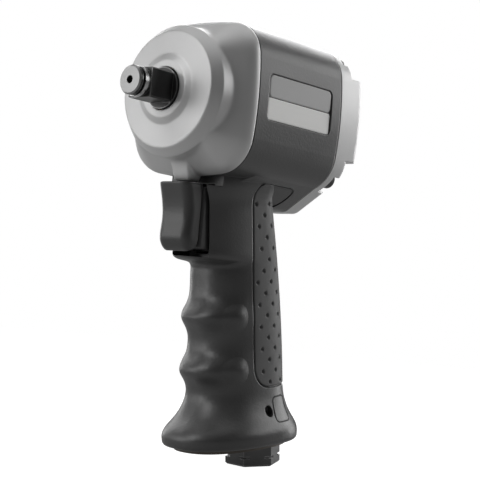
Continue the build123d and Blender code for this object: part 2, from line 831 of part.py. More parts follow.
def label_recess():
    """Shallow recess for a plate on the left side of the barrel."""
    length, height = label_length, label_top_z - label_bottom_z
    front = housing_front_x - label_front_setback
    floor = barrel_half_width - label_recess_depth
    face = Plane(origin=(front - length / 2.0, floor, (label_top_z + label_bottom_z) / 2.0),
                 x_dir=(-1, 0, 0), z_dir=(0, 1, 0))
    return extrude(face * RectangleRounded(length, height, label_corner_radius), barrel_half_width)


def air_ways():
    """Passages in the housing for the air, from the foot to the motor and back."""
    supply_end = Vector(throttle_bore_end_x + passage_radius, 0, throttle_z)
    inlet = passage(grip_point(grip_length, inlet_offset, 0), supply_end, passage_radius)
    bore = grip_bar(inlet_top, grip_length + cut_spare, inlet_shank_radius + fit_clearance, inlet_offset)
    throttle = rod(slot_back_x + cut_spare, throttle_bore_end_x, throttle_bore_radius, 0, throttle_z)
    feed = Pos(feed_x, 0, throttle_z) * Cylinder(feed_radius, reverse_z - throttle_z,
                                                 align=(Align.CENTER, Align.CENTER, Align.MIN))
    reverse = rod(reverse_front_x, housing_back_x - cut_spare, reverse_bore_radius, 0, reverse_z)
    ways = [inlet, bore, throttle, feed, reverse]
    for side in (-1, 1):
        top = grip_point(grip_start, exhaust_offset, side * exhaust_spread)
        foot = grip_point(grip_length, exhaust_foot_offset, side * exhaust_spread)
        ways.append(passage(top, foot, exhaust_radius))
        ways.append(motor_port(side))
    return ways


def motor_port(side):
    """Upright port between the reverse valve and the motor."""
    port = Cylinder(motor_port_radius, -reverse_z, align=(Align.CENTER, Align.CENTER, Align.MIN))
    floor = reverse_z
    return Pos(motor_port_x, side * motor_port_spread, floor) * port


def make_motor_housing():
    """Moulded housing: barrel, keel, handle with finger ridges, foot and trigger pocket."""
    rim = grip_form().edges().sort_by(Axis.Z)[0]
    handle = fillet([rim], foot_edge_round) - inlay_cutter()
    far = 2.0 * barrel_half_width
    handle = handle - block((housing_front_x - keel_setback, far), (-far, far), (pocket_roof_z, far))
    housing = handle + barrel_prism(housing_front_x, housing_back_x)
    housing = housing + keel_form()
    housing = housing - inlay_tongues() - trigger_slot() - label_recess() - air_ways()
    housing = housing - rod(housing_front_x + cut_spare, shoulder_x, front_bore_radius)
    housing = housing - rod(shoulder_x, housing_back_x - cut_spare, motor_bore_radius)
    housing = housing - bolt_holes(housing_front_x + cut_spare, housing_back_x - cut_spare)
    housing = housing - grip_slab(grip_length - foot_cavity_depth, grip_length + cut_spare, foot_wall)
    housing = housing - cross_pin(foot_pin_x, foot_pin_z, foot_pin_radius + fit_clearance,
                                  barrel_half_width)
    mouth_floor = grip_half_width(foot_pin_place) - foot_pin_mouth_depth
    mouths = cross_pin(foot_pin_x, foot_pin_z, foot_pin_mouth_radius, barrel_half_width)
    housing = housing - (mouths - cross_pin(foot_pin_x, foot_pin_z, barrel_half_width, mouth_floor))
    return housing - cross_pin(trigger_pin_x, trigger_pin_z, trigger_pin_radius + fit_clearance,
                               trigger_pin_half_length)


def cross_pin(x, z, radius, half_length):
    """Round pin from side to side."""
    return Pos(x, 0, z) * Rot(90, 0, 0) * Cylinder(radius, 2.0 * half_length)


def make_grip_inlay():
    """Rubber skin set into the back of the handle."""
    skin = grip_form() & inlay_cutter()
    skin = skin - barrel_prism(housing_front_x, housing_back_x)
    skin = skin - keel_form()
    return skin + inlay_tongues()


def make_trigger():
    """Trigger with a hollow front for the finger, and the slot for its pin."""
    front = Spline((trigger_top_front_x, 0, trigger_top_z), (trigger_waist_front_x, 0, trigger_waist_z),
                   (trigger_toe_front_x, 0, trigger_toe_z),
                   tangents=((-trigger_top_lean, 0, -1), (0, 0, -1)))
    drop = trigger_toe_z - trigger_bottom_z
    heel_x = trigger_toe_front_x - drop
    lean = drop * sin(pi / 4.0)
    toe = ThreePointArc((trigger_toe_front_x, 0, trigger_toe_z), (heel_x + lean, 0, trigger_toe_z - lean),
                        (heel_x, 0, trigger_bottom_z))
    back = Polyline([(heel_x, 0, trigger_bottom_z), (trigger_cap_back_x, 0, trigger_bottom_z),
                     (trigger_cap_back_x, 0, trigger_top_z), (trigger_top_front_x, 0, trigger_top_z)])
    outline = make_face(front.edges() + toe.edges() + back.edges())
    body = extrude(outline, trigger_half_width, both=True)
    sides = body.edges().filter_by(Axis.Y, reverse=True)
    finger = [edge for edge in sides
              if edge.center().X > trigger_cap_back_x and edge.center().Z < trigger_top_z]
    body = fillet(finger, trigger_edge_round)
    stem = block((trigger_back_x, trigger_cap_back_x), (-trigger_stem_half_width, trigger_stem_half_width),
                 (trigger_tail_bottom_z, trigger_top_z - slot_end_gap))
    tail = block((trigger_tail_x, trigger_back_x), (-trigger_tail_half_width, trigger_tail_half_width),
                 (trigger_tail_bottom_z, trigger_tail_top_z))
    gap = slot_back_gap / 2.0
    slot_length = trigger_travel + 2.0 * (trigger_pin_radius + gap)
    slot_low = trigger_pin_x - trigger_pin_radius - gap
    half = trigger_pin_radius + gap
    slot = block((slot_low, slot_low + slot_length), (-trigger_half_width, trigger_half_width),
                 (trigger_pin_z - half, trigger_pin_z + half))
    socket = rod(trigger_back_x - cut_spare, trigger_back_x + rod_socket_depth, rod_radius + fit_clearance,
                 0, throttle_z)
    return body + stem + tail - slot - socket


def make_trigger_rod():
    """Steel rod from the trigger to the throttle valve."""
    return rod(trigger_back_x + rod_socket_depth, bushing_back_x, rod_radius, 0, throttle_z)


def make_trigger_pin():
    """Pin across the handle that holds the trigger in its pocket."""
    return cross_pin(trigger_pin_x, trigger_pin_z, trigger_pin_radius, trigger_pin_half_length)


def make_throttle_bushing():
    """Brass guide of the rod, with the valve's seat at its back."""
    outer = throttle_bore_radius - fit_clearance
    bush = tube(bushing_front_x, bushing_back_x, outer, rod_radius + running_clearance, 0, throttle_z)
    gallery = rod(bushing_back_x - cut_spare, bushing_back_x + throttle_gallery_length,
                  throttle_gallery_radius,
                  0, throttle_z)
    port = Pos(feed_x, 0, throttle_z) * Cylinder(throttle_port_radius, 2.0 * outer,
                                                 align=(Align.CENTER, Align.CENTER, Align.MIN))
    return bush - gallery - port


def make_throttle_valve():
    """Poppet that the rod pushes off its seat, with a stub that guides the spring."""
    front = bushing_back_x - valve_seat_land
    head = rod(front, valve_back_x, valve_head_radius, 0, throttle_z)
    return head + rod(valve_back_x, valve_back_x - valve_guide_length, valve_guide_radius, 0, throttle_z)


def make_throttle_spring():
    """Return spring behind the throttle valve, wound from quarter-turn arcs."""
    start = valve_back_x - spring_wire_radius - fit_clearance
    end = throttle_bore_end_x + spring_wire_radius + fit_clearance
    quarters = 4 * spring_turns

    def place(share):
        angle = 2.0 * pi * spring_turns * share
        return Vector(start + (end - start) * share, spring_coil_radius * cos(angle),
                      throttle_z + spring_coil_radius * sin(angle))

    arcs = [ThreePointArc(place(index / quarters), place((index + 0.5) / quarters),
                          place((index + 1) / quarters)).edge()
            for index in range(quarters)]
    path = Wire(arcs)
    gap = abs(end - start) / spring_turns - 2.0 * spring_wire_radius
    print("throttle spring: gap between turns", round(gap, 2), "mm")
    section = Plane(origin=path @ 0, z_dir=path % 0) * Circle(spring_wire_radius)
    return sweep(section, path)


def make_reverse_bushing():
    """Sleeve of the reverse valve in the housing, with its ports."""
    bush = tube(reverse_front_x, housing_back_x, reverse_bore_radius - fit_clearance, reverse_bushing_bore,
                0, reverse_z)
    feed = Pos(feed_x, 0, reverse_z) * Cylinder(feed_radius, 2.0 * reverse_bore_radius,
                                                align=(Align.CENTER, Align.CENTER, Align.MAX))
    return bush - feed - [motor_port(side) for side in (-1, 1)]


def make_reverse_valve():
    """Turning valve with a flow slot, and the stem that carries the knob."""
    spool_radius = reverse_bushing_bore - running_clearance
    spool = rod(reverse_front_x, housing_back_x, spool_radius, 0, reverse_z)
    stem = rod(housing_back_x, knob_back_x + knob_screw_head_height + fit_clearance, reverse_stem_radius, 0,
               reverse_z)
    half = reverse_port_width / 2.0
    floor = reverse_z + spool_radius - reverse_port_depth
    slot = block((motor_port_x - half, reverse_front_x + cut_spare), (-half, half), (floor, 0))
    lead_in = rod(feed_x - feed_radius, reverse_front_x + cut_spare,
                  spool_radius - reverse_port_depth / 2.0, 0,
                  reverse_z)
    groove_half = stop_pin_radius + soft_clearance
    stop = sector(stop_pin_x - groove_half, stop_pin_x + groove_half, 2.0 * reverse_stem_radius,
                  reverse_stem_radius - stop_groove_depth, -90, stop_groove_angle)
    thread = rod(knob_back_x, knob_back_x + knob_screw_reach, knob_screw_radius + fit_clearance, 0,
                 reverse_z)
    return spool + stem - slot - lead_in - Pos(0, 0, reverse_z) * stop - thread


def make_stop_pin():
    """Pin in the rear cover that limits the reverse valve's turn."""
    top = reverse_z - reverse_stem_radius + stop_groove_depth - soft_clearance
    bottom = keel_bottom_z + stop_pin_setback
    return Pos(stop_pin_x, 0, bottom) * Cylinder(stop_pin_radius, top - bottom,
                                                 align=(Align.CENTER, Align.CENTER, Align.MIN))


def make_reverse_knob():
    """Fluted knob behind the cover, for direction and power."""
    front = cover_back_x - knob_gap
    knob = rod(front, knob_back_x, knob_radius, 0, reverse_z)
    knob = chamfer(knob.faces().sort_by(Axis.X)[0].edges(), knob_gap)
    flutes = []
    for index in range(knob_flutes):
        angle = 2.0 * pi * index / knob_flutes
        y, z = knob_radius * cos(angle), reverse_z + knob_radius * sin(angle)
        flutes.append(rod(front + cut_spare, knob_back_x - cut_spare, knob_flute_radius, y, z))
    bore = rod(front + cut_spare, knob_back_x + knob_screw_head_height, reverse_stem_radius + fit_clearance,
               0, reverse_z)
    head_seat = rod(knob_back_x - cut_spare, knob_back_x + knob_screw_head_height + knob_gap,
                    knob_screw_head_radius + fit_clearance, 0, reverse_z)
    return knob - flutes - bore - head_seat


def make_knob_screw():
    """Screw that holds the knob on its stem."""
    head = rod(knob_back_x, knob_back_x + knob_screw_head_height, knob_screw_head_radius, 0, reverse_z)
    shank = rod(knob_back_x, knob_back_x + knob_screw_reach - fit_clearance, knob_screw_radius, 0,
                reverse_z)
    key = hex_bar(knob_back_x - cut_spare, knob_back_x + knob_screw_head_height / 2.0, knob_screw_key_flats,
                  0, reverse_z)
    return head + shank - key


def make_hammer_cage():
    """Carrier of the hammers: two plates, two pillars and a hub driven by the rotor."""
    front = tube(cage_front_x, cage_front_x - cage_plate_thickness, cage_radius, cage_front_bore)
    rear = rod(cage_rear_plate_x, cage_back_x, cage_radius)
    inner = cage_radius - cage_pillar_wall
    pillars = [sector(cage_front_x, cage_back_x, cage_radius, inner, angle, cage_pillar_angle)
               for angle in (0, 180)]
    hub = rod(cage_back_x, cage_hub_back_x, cage_hub_radius)
    pilot = rod(cage_rear_plate_x + cut_spare, cage_back_x, anvil_pilot_radius + running_clearance)
    socket = hex_bar(cage_back_x + cut_spare, cage_hub_back_x - cut_spare,
                     coupling_flats + 2.0 * fit_clearance)
    pin_holes = [rod(cage_front_x + cut_spare, cage_back_x - cut_spare, hammer_pin_radius + fit_clearance,
                     0, side * hammer_pin_circle)
                 for side in (-1, 1)]
    return front + rear + pillars + hub - pilot - socket - pin_holes


def hammer(front, jaw_angle):
    """Ring hammer with one inner jaw, swinging on its two pins."""
    back = front - hammer_length
    ring = tube(front, back, hammer_radius, hammer_bore)
    jaw = sector(front, back, hammer_bore + hammer_jaw_root, hammer_jaw_bore, jaw_angle, hammer_jaw_angle)
    holes = [rod(front + cut_spare, back - cut_spare, hammer_pin_radius + fit_clearance, 0,
                 side * hammer_pin_circle)
             for side in (-1, 1)]
    return ring + jaw - holes


def make_front_hammer():
    """Hammer that strikes the front jaw."""
    return hammer(front_hammer_x, 90)


def make_rear_hammer():
    """Hammer that strikes the rear jaw."""
    return hammer(rear_hammer_x, -90)


def make_hammer_pins():
    """Two pins through the cage and both hammers."""
    return Compound([rod(cage_front_x, cage_back_x, hammer_pin_radius, 0, side * hammer_pin_circle).solid()
                     for side in (-1, 1)])


def make_rotor():
    """Slotted rotor with its shafts and the hexagon that drives the cage."""
    body = rod(liner_front_x - rotor_end_gap, liner_back_x + rotor_end_gap, rotor_radius)
    shaft = rod(shoulder_x, plate_back_x - rotor_shaft_end / 2.0, bearing_bore - fit_clearance)
    driver = hex_bar(shoulder_x - cut_spare, cage_back_x - soft_clearance, coupling_flats)
    return body + shaft + driver - [vane_form(index, fit_clearance) for index in range(vane_count)]


def vane_form(index, room=0.0):
    """One vane, or with room added the slot that it slides in."""
    half = vane_thickness / 2.0 + room
    tip = rotor_radius - vane_tip_inset + (1.0 if room else 0.0)
    spare = 1.0 if room else 0.0
    front, back = liner_front_x - rotor_end_gap, liner_back_x + rotor_end_gap
    blade = block((back - spare, front + spare), (-half, half),
                  (rotor_radius - vane_tip_inset - vane_depth - room, tip))
    return Rot(360.0 * index / vane_count, 0, 0) * blade


def make_rotor_vanes():
    """Vanes, drawn into their slots."""
    return Compound([vane_form(index).solid() for index in range(vane_count)])


def make_cylinder_liner():
    """Motor cylinder with its bore off centre, and the ports in its lower wall."""
    liner = rod(liner_front_x, liner_back_x, end_plate_radius)
    liner = liner - rod(liner_front_x + cut_spare, liner_back_x - cut_spare, liner_bore_radius, 0,
                        liner_bore_rise)
    for side in (-1, 1):
        for step in (0, 1):
            x = liner_port_x - step * liner_port_pitch
            port = Cylinder(liner_port_radius, end_plate_radius,
                            align=(Align.CENTER, Align.CENTER, Align.MAX))
            liner = liner - Pos(x, side * exhaust_spread, -liner_bore_radius / 2.0) * port
        liner = liner - motor_port(side)
    return liner - dowel(fit_clearance)


def dowel(room=0.0):
    """Pin that keeps the cylinder from turning in the front plate."""
    angle = radians(dowel_angle)
    y, z = dowel_circle * cos(angle), dowel_circle * sin(angle)
    return rod(liner_front_x - dowel_reach - room, liner_front_x + dowel_reach + room, dowel_radius + room,
               y, z)


def make_liner_dowel():
    """The cylinder's dowel."""
    return dowel()


def end_plate(front, bearing_front):
    """Motor end plate with the seat for a bearing."""
    plate = rod(front, front - end_plate_thickness, end_plate_radius)
    plate = plate - rod(front + cut_spare, front - end_plate_thickness - cut_spare, shaft_hole_radius)
    return plate - rod(bearing_front, bearing_front - bearing_width, bearing_radius + fit_clearance)


def make_front_end_plate():
    """Front plate of the motor."""
    return end_plate(shoulder_x, shoulder_x) - dowel(fit_clearance)


def make_rear_end_plate():
    """Rear plate of the motor."""
    return end_plate(liner_back_x, plate_back_x + bearing_width)


bearing_pitch_radius = (bearing_radius + bearing_bore) / 2.0


def bearing_groove(front):
    """Track of the balls, cut into both races."""
    middle = front - bearing_width / 2.0
    return Pos(middle, 0, 0) * Rot(0, 90, 0) * Torus(bearing_pitch_radius, bearing_groove_radius)


def outer_race(front):
    """Outer ring of a ball bearing."""
    return tube(front, front - bearing_width, bearing_radius,
                bearing_radius - bearing_race_wall) - bearing_groove(front)


def inner_race(front):
    """Inner ring of a ball bearing."""
    return tube(front, front - bearing_width, bearing_bore + bearing_race_wall,
                bearing_bore) - bearing_groove(front)


def balls(front):
    """Balls of a bearing, evenly spaced."""
    middle = front - bearing_width / 2.0
    places = [2.0 * pi * index / bearing_balls for index in range(bearing_balls)]
    return Compound([(Pos(middle, bearing_pitch_radius * cos(angle), bearing_pitch_radius * sin(angle))
                      * Sphere(bearing_ball_radius)).solid() for angle in places])


def make_inlet_bushing():
    """Air inlet: hexagon under the foot, shank in the handle and the thread's bore."""
    shank = grip_bar(inlet_top, inlet_hex_start, inlet_shank_radius, inlet_offset)
    place = grip_plane(inlet_hex_start, inlet_offset).location
    hexagon = extrude(RegularPolygon(inlet_hex_flats / sqrt(3.0), 6), inlet_hex_height)
    hexagon = chamfer(hexagon.faces().sort_by(Axis.Z)[-1].edges(), inlet_hex_chamfer)
    hexagon = place * Rot(0, 0, inlet_hex_turn) * hexagon
    end = inlet_hex_start + inlet_hex_height
    bore = grip_bar(end - inlet_thread_length, end + cut_spare, inlet_thread_radius, inlet_offset)
    throat = grip_bar(inlet_top - cut_spare, end, inlet_throat_radius, inlet_offset)
    screen_seat = grip_bar(inlet_top - cut_spare, inlet_top + screen_thickness,
                           screen_radius + fit_clearance,
                           inlet_offset)
    pin_groove = grip_ring(foot_pin_place, foot_pin_radius + soft_clearance, inlet_shank_radius + cut_spare,
                           foot_pin_groove_radius)
    mark = grip_ring(inlet_hex_start + inlet_mark_place, inlet_mark_half_width, inlet_hex_flats,
                     inlet_hex_flats / 2.0 + inlet_mark_room)
    seal_groove = grip_ring(inlet_top + seal_place, seal_wire_radius + fit_clearance,
                            inlet_shank_radius + cut_spare, seal_root_radius)
    return shank + hexagon - bore - throat - screen_seat - pin_groove - seal_groove - mark


def grip_ring(middle, half_width, outer, inner):
    """Ring about the inlet's axis."""
    start, end = middle - half_width, middle + half_width
    return grip_bar(start, end, outer, inlet_offset) - grip_bar(start - cut_spare, end + cut_spare, inner,
                                                                inlet_offset)


def make_inlet_seal():
    """O-ring on the inlet's shank."""
    ring = Torus(seal_root_radius + fit_clearance + seal_wire_radius, seal_wire_radius)
    return grip_plane(inlet_top + seal_place, inlet_offset).location * ring


def make_inlet_screen():
    """Perforated screen at the top of the inlet."""
    screen = Cylinder(screen_radius, screen_thickness, align=(Align.CENTER, Align.CENTER, Align.MIN))
    holes = [Pos(ring * screen_hole_pitch * cos(pi * step / 3.0),
                 ring * screen_hole_pitch * sin(pi * step / 3.0))
             * Cylinder(screen_hole_radius, 4.0 * screen_thickness) for ring in (1, 2) for step in range(6)]
    return grip_plane(inlet_top, inlet_offset).location * (screen - holes)


def make_exhaust_deflector():
    """Plate under the foot with the exhaust slots, round the inlet."""
    start = grip_length + deflector_stand_out - deflector_thickness
    plate = grip_slab(start, start + deflector_thickness, foot_wall + soft_clearance)
    plate = plate - grip_bar(start - cut_spare, start + deflector_thickness + cut_spare,
                             inlet_shank_radius + fit_clearance, inlet_offset)
    slots = []
    for index in range(deflector_slots):
        forward = deflector_slot_place + (index - (deflector_slots - 1) / 2.0) * deflector_slot_pitch
        slot = Box(deflector_slot_width, deflector_slot_length, 4.0 * deflector_thickness)
        slots.append(grip_plane(start, forward).location * slot)
    return plate - slots


def make_exhaust_muffler():
    """Felt in the foot, between the exhaust passages and the plate."""
    start = grip_length - foot_cavity_depth
    end = grip_length + deflector_stand_out - deflector_thickness
    felt = grip_slab(start, end, foot_wall + soft_clearance)
    return felt - grip_bar(start - cut_spare, end + cut_spare, inlet_shank_radius + soft_clearance,
                           inlet_offset)


def make_foot_pin():
    """Pin across the handle that holds the inlet in its bore."""
    return cross_pin(foot_pin_x, foot_pin_z, foot_pin_radius,
                     grip_half_width(foot_pin_place) - foot_pin_setback)


def make_housing_bolts():
    """Four long socket-head screws from the rear cover to the hammer case."""
    head_front = bolt_seat_x - washer_thickness
    head_back = head_front - bolt_head_height
    bolt = rod(head_front, head_back, bolt_head_radius) + rod(head_front, bolt_tip_x, bolt_radius)
    bolt = bolt - hex_bar(head_back - cut_spare, head_back + bolt_key_depth, bolt_key_flats)
    return Compound([piece.solid() for piece in at_bolts(bolt)])


def make_bolt_washers():
    """Washers under the bolt heads."""
    washer = tube(bolt_seat_x, bolt_seat_x - washer_thickness, washer_radius, bolt_radius + fit_clearance)
    return Compound([piece.solid() for piece in at_bolts(washer)])


makers = {
    "motor_housing": make_motor_housing,
    "hammer_case": make_hammer_case,
    "rear_cover": make_rear_cover,
    "front_gasket": make_front_gasket,
    "rear_gasket": make_rear_gasket,
    "housing_bolts": make_housing_bolts,
    "bolt_washers": make_bolt_washers,
    "grip_inlay": make_grip_inlay,
    "trigger": make_trigger,
    "trigger_rod": make_trigger_rod,
    "trigger_pin": make_trigger_pin,
    "throttle_bushing": make_throttle_bushing,
    "throttle_valve": make_throttle_valve,
    "throttle_spring": make_throttle_spring,
    "reverse_bushing": make_reverse_bushing,
    "reverse_valve": make_reverse_valve,
    "reverse_knob": make_reverse_knob,
    "knob_screw": make_knob_screw,
    "stop_pin": make_stop_pin,
    "anvil": make_anvil,
    "friction_ring": make_friction_ring,
    "ring_cushion": make_ring_cushion,
    "anvil_bushing": make_anvil_bushing,
    "hammer_cage": make_hammer_cage,
    "front_hammer": make_front_hammer,
    "rear_hammer": make_rear_hammer,
    "hammer_pins": make_hammer_pins,
    "rotor": make_rotor,
    "rotor_vanes": make_rotor_vanes,
    "cylinder_liner": make_cylinder_liner,
    "liner_dowel": make_liner_dowel,
    "front_end_plate": make_front_end_plate,
    "rear_end_plate": make_rear_end_plate,
    "front_bearing_outer": lambda: outer_race(shoulder_x),
    "front_bearing_inner": lambda: inner_race(shoulder_x),
    "front_bearing_balls": lambda: balls(shoulder_x),
    "rear_bearing_outer": lambda: outer_race(plate_back_x + bearing_width),
    "rear_bearing_inner": lambda: inner_race(plate_back_x + bearing_width),
    "rear_bearing_balls": lambda: balls(plate_back_x + bearing_width),
    "inlet_bushing": make_inlet_bushing,
    "inlet_seal": make_inlet_seal,
    "inlet_screen": make_inlet_screen,
    "exhaust_deflector": make_exhaust_deflector,
    "exhaust_muffler": make_exhaust_muffler,
    "foot_pin": make_foot_pin,
}

os.makedirs("parts", exist_ok=True)
for node, maker in makers.items():
    piece = maker()
    export_step(piece, f"parts/{node}.step")
    print(node, len(piece.solids()), "solids", round(piece.volume, 1), "mm3")
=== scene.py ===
# %% [markdown]
# # Compact air impact wrench
#
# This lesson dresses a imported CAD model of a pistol-grip air tool. The CAD gives every solid its
# true place and size. Here each solid gets a finish. The cast front and the trigger get softer
# forms, and thin pieces that only the eye needs are built as formula surfaces: the ends of the
# finger ridges, the dimpled rubber skin, two blank plates in the side recess and an outline beside
# the foot. Every object is in metres, in the CAD's own frame: +X out of the drive, +Y to the tool's
# left, +Z up. The formulas are in millimetres, as a drawing is, and are scaled once, when a mesh is
# made.

# %% Load the model
import json
from math import cos, radians, sin

import bmesh
import bpy
import numpy as np
from mathutils import Matrix, Vector


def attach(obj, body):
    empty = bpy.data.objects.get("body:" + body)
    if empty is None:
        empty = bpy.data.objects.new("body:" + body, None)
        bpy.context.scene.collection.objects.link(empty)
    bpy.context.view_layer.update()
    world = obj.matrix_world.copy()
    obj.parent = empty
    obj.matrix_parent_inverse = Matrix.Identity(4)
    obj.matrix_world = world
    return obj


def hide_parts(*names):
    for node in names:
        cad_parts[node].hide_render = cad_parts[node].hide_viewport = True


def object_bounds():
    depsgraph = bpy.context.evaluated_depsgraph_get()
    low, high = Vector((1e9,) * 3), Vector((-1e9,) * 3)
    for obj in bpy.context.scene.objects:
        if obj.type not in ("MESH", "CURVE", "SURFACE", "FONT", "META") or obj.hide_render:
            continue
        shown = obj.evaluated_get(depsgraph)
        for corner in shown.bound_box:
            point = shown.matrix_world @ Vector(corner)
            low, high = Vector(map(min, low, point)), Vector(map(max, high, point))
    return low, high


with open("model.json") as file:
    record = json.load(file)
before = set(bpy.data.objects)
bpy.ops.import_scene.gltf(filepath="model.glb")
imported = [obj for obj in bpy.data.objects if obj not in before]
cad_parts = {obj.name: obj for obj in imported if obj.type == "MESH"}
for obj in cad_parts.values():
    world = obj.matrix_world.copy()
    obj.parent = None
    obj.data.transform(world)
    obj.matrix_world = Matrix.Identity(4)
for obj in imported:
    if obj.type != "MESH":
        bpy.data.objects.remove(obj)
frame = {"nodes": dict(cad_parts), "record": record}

nodes = frame["nodes"]
cad_box = [list(corner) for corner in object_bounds()]
print("loaded", len(nodes), "solids, box", [[round(value, 4) for value in corner] for corner in cad_box])

# %% [markdown]
# ## Shared shader effects
#
# A moulded or blasted skin has a fine pebble, handling leaves slow changes of gloss, and knocked
# edges wear bright. These could be painted on image textures, but a few nodes on object coordinates
# need no pictures, and their pattern stays with its piece when the piece moves. What more than one
# finish uses is built once, as a node group.
#
# - *Fine grain* gives a height for a bump: pebbles, with smaller specks on them.
# - *Patches* gives a slow change over a few centimetres.
# - *Edge mask* compares the true normal with a softened one, so it is bright only at edges.

# %% Parts of a node group
def new_group(name, inputs, outputs):
    """Empty shader group with float inputs {name: default} and float outputs."""
    group = bpy.data.node_groups.new(name, "ShaderNodeTree")
    for label, default in inputs.items():
        socket = group.interface.new_socket(label, in_out="INPUT", socket_type="NodeSocketFloat")
        socket.default_value = default
    for label in outputs:
        group.interface.new_socket(label, in_out="OUTPUT", socket_type="NodeSocketFloat")
    source = group.nodes.new("NodeGroupInput")
    result = group.nodes.new("NodeGroupOutput")
    return group, source.outputs, result.inputs


def noise(tree, scale, detail):
    """Noise on object coordinates; scale is a number or a socket."""
    place = tree.nodes.new("ShaderNodeTexCoord")
    texture = tree.nodes.new("ShaderNodeTexNoise")
    texture.inputs["Detail"].default_value = detail
    tree.links.new(place.outputs["Object"], texture.inputs["Vector"])
    if isinstance(scale, (int, float)):
        texture.inputs["Scale"].default_value = scale
    else:
        tree.links.new(scale, texture.inputs["Scale"])
    return texture.outputs["Fac"]


def math_node(tree, operation, first, second):
    """One arithmetic node; each side is a number or a socket."""
    node = tree.nodes.new("ShaderNodeMath")
    node.operation = operation
    for index, value in enumerate((first, second)):
        if isinstance(value, (int, float)):
            node.inputs[index].default_value = value
        else:
            tree.links.new(value, node.inputs[index])
    return node.outputs[0]


def spread(tree, value, low, high):
    """Stretches the span low..high to 0..1 and clips it."""
    node = tree.nodes.new("ShaderNodeMapRange")
    node.inputs["From Min"].default_value = low
    node.inputs["From Max"].default_value = high
    tree.links.new(value, node.inputs["Value"])
    return node.outputs["Result"]


print("helpers", [helper.__name__ for helper in (new_group, noise, math_node, spread)])

# %% Fine grain and patches
pebble_detail, speck_detail = 2.0, 0.0
specks_per_pebble, speck_height = 3.1, 0.4
patch_detail, patch_low, patch_high = 4.0, 0.35, 0.68

grain, given, wanted = new_group("Fine grain", {"Scale": 2200.0}, ["Height"])
pebbles = noise(grain, given["Scale"], pebble_detail)
specks = noise(grain, math_node(grain, "MULTIPLY", given["Scale"], specks_per_pebble), speck_detail)
raised_specks = math_node(grain, "MULTIPLY", specks, speck_height)
grain.links.new(math_node(grain, "ADD", pebbles, raised_specks), wanted["Height"])

patches, given, wanted = new_group("Patches", {"Scale": 28.0}, ["Amount"])
slow_change = noise(patches, given["Scale"], patch_detail)
patches.links.new(spread(patches, slow_change, patch_low, patch_high), wanted["Amount"])
print("node groups", grain.name, "and", patches.name)

# %% Edge mask
mask_samples = 6
chip_scale, chip_detail, chip_base = 900.0, 3.0, 0.4
wear_start, wear_full = 0.02, 0.16

edges, given, wanted = new_group("Edge mask", {"Radius": 0.0006}, ["Mask"])
soft = edges.nodes.new("ShaderNodeBevel")
soft.samples = mask_samples
edges.links.new(given["Radius"], soft.inputs["Radius"])
true_normal = edges.nodes.new("ShaderNodeNewGeometry")
agree = edges.nodes.new("ShaderNodeVectorMath")
agree.operation = "DOT_PRODUCT"
edges.links.new(soft.outputs["Normal"], agree.inputs[0])
edges.links.new(true_normal.outputs["Normal"], agree.inputs[1])
apart = math_node(edges, "SUBTRACT", 1.0, agree.outputs["Value"])
chips = math_node(edges, "ADD", chip_base, noise(edges, chip_scale, chip_detail))
broken = math_node(edges, "MULTIPLY", apart, chips)
edges.links.new(spread(edges, broken, wear_start, wear_full), wanted["Mask"])
print("node group", edges.name)

# %% [markdown]
# ## Finishes
#
# The tool is moulded composite, blasted castings, rubber and steel, some of it blackened. Each finish
# could have a node tree of its own, but they differ only in their values, so one function builds them
# all. Every finish is one Principled surface. Its colour mixes a base with a second tone by the
# *Patches* amount, the same amount lifts the roughness a little, and the grain drives a bump. Metals
# that get knocked also mix towards bare metal by the *Edge mask*. On the drive's nose a painted
# highlight turns the colour pale grey in front of a place on the drive axis.

# %% Material builder
def use(tree, group, **values):
    """Places a node group with its inputs set."""
    node = tree.nodes.new("ShaderNodeGroup")
    node.node_tree = group
    for label, value in values.items():
        node.inputs[label].default_value = value
    return node.outputs[0]


def mix_colour(tree, factor, first, second):
    """Colour mix; each side is a grey tone, a triple or a socket."""
    node = tree.nodes.new("ShaderNodeMix")
    node.data_type = "RGBA"
    tree.links.new(factor, node.inputs["Factor"])
    for name, value in (("A", first), ("B", second)):
        socket = [item for item in node.inputs if item.name == name and item.type == "RGBA"][0]
        if isinstance(value, bpy.types.NodeSocket):
            tree.links.new(value, socket)
        else:
            tone = (value, value, value) if isinstance(value, float) else value
            socket.default_value = (*tone, 1.0)
    return [item for item in node.outputs if item.type == "RGBA"][0]


def mix_value(tree, factor, first, second):
    """Number mix between two ends, which may be sockets."""
    span = math_node(tree, "SUBTRACT", second, first)
    return math_node(tree, "ADD", math_node(tree, "MULTIPLY", span, factor), first)


print("helpers", [helper.__name__ for helper in (use, mix_colour, mix_value)])

# %% One function for every finish
worn_gloss = 0.75
# Tone of the painted highlight on the drive's nose, and the length over which it fades in.
highlight_tone, highlight_fade = 0.3, 0.0002
round_over_samples = 8


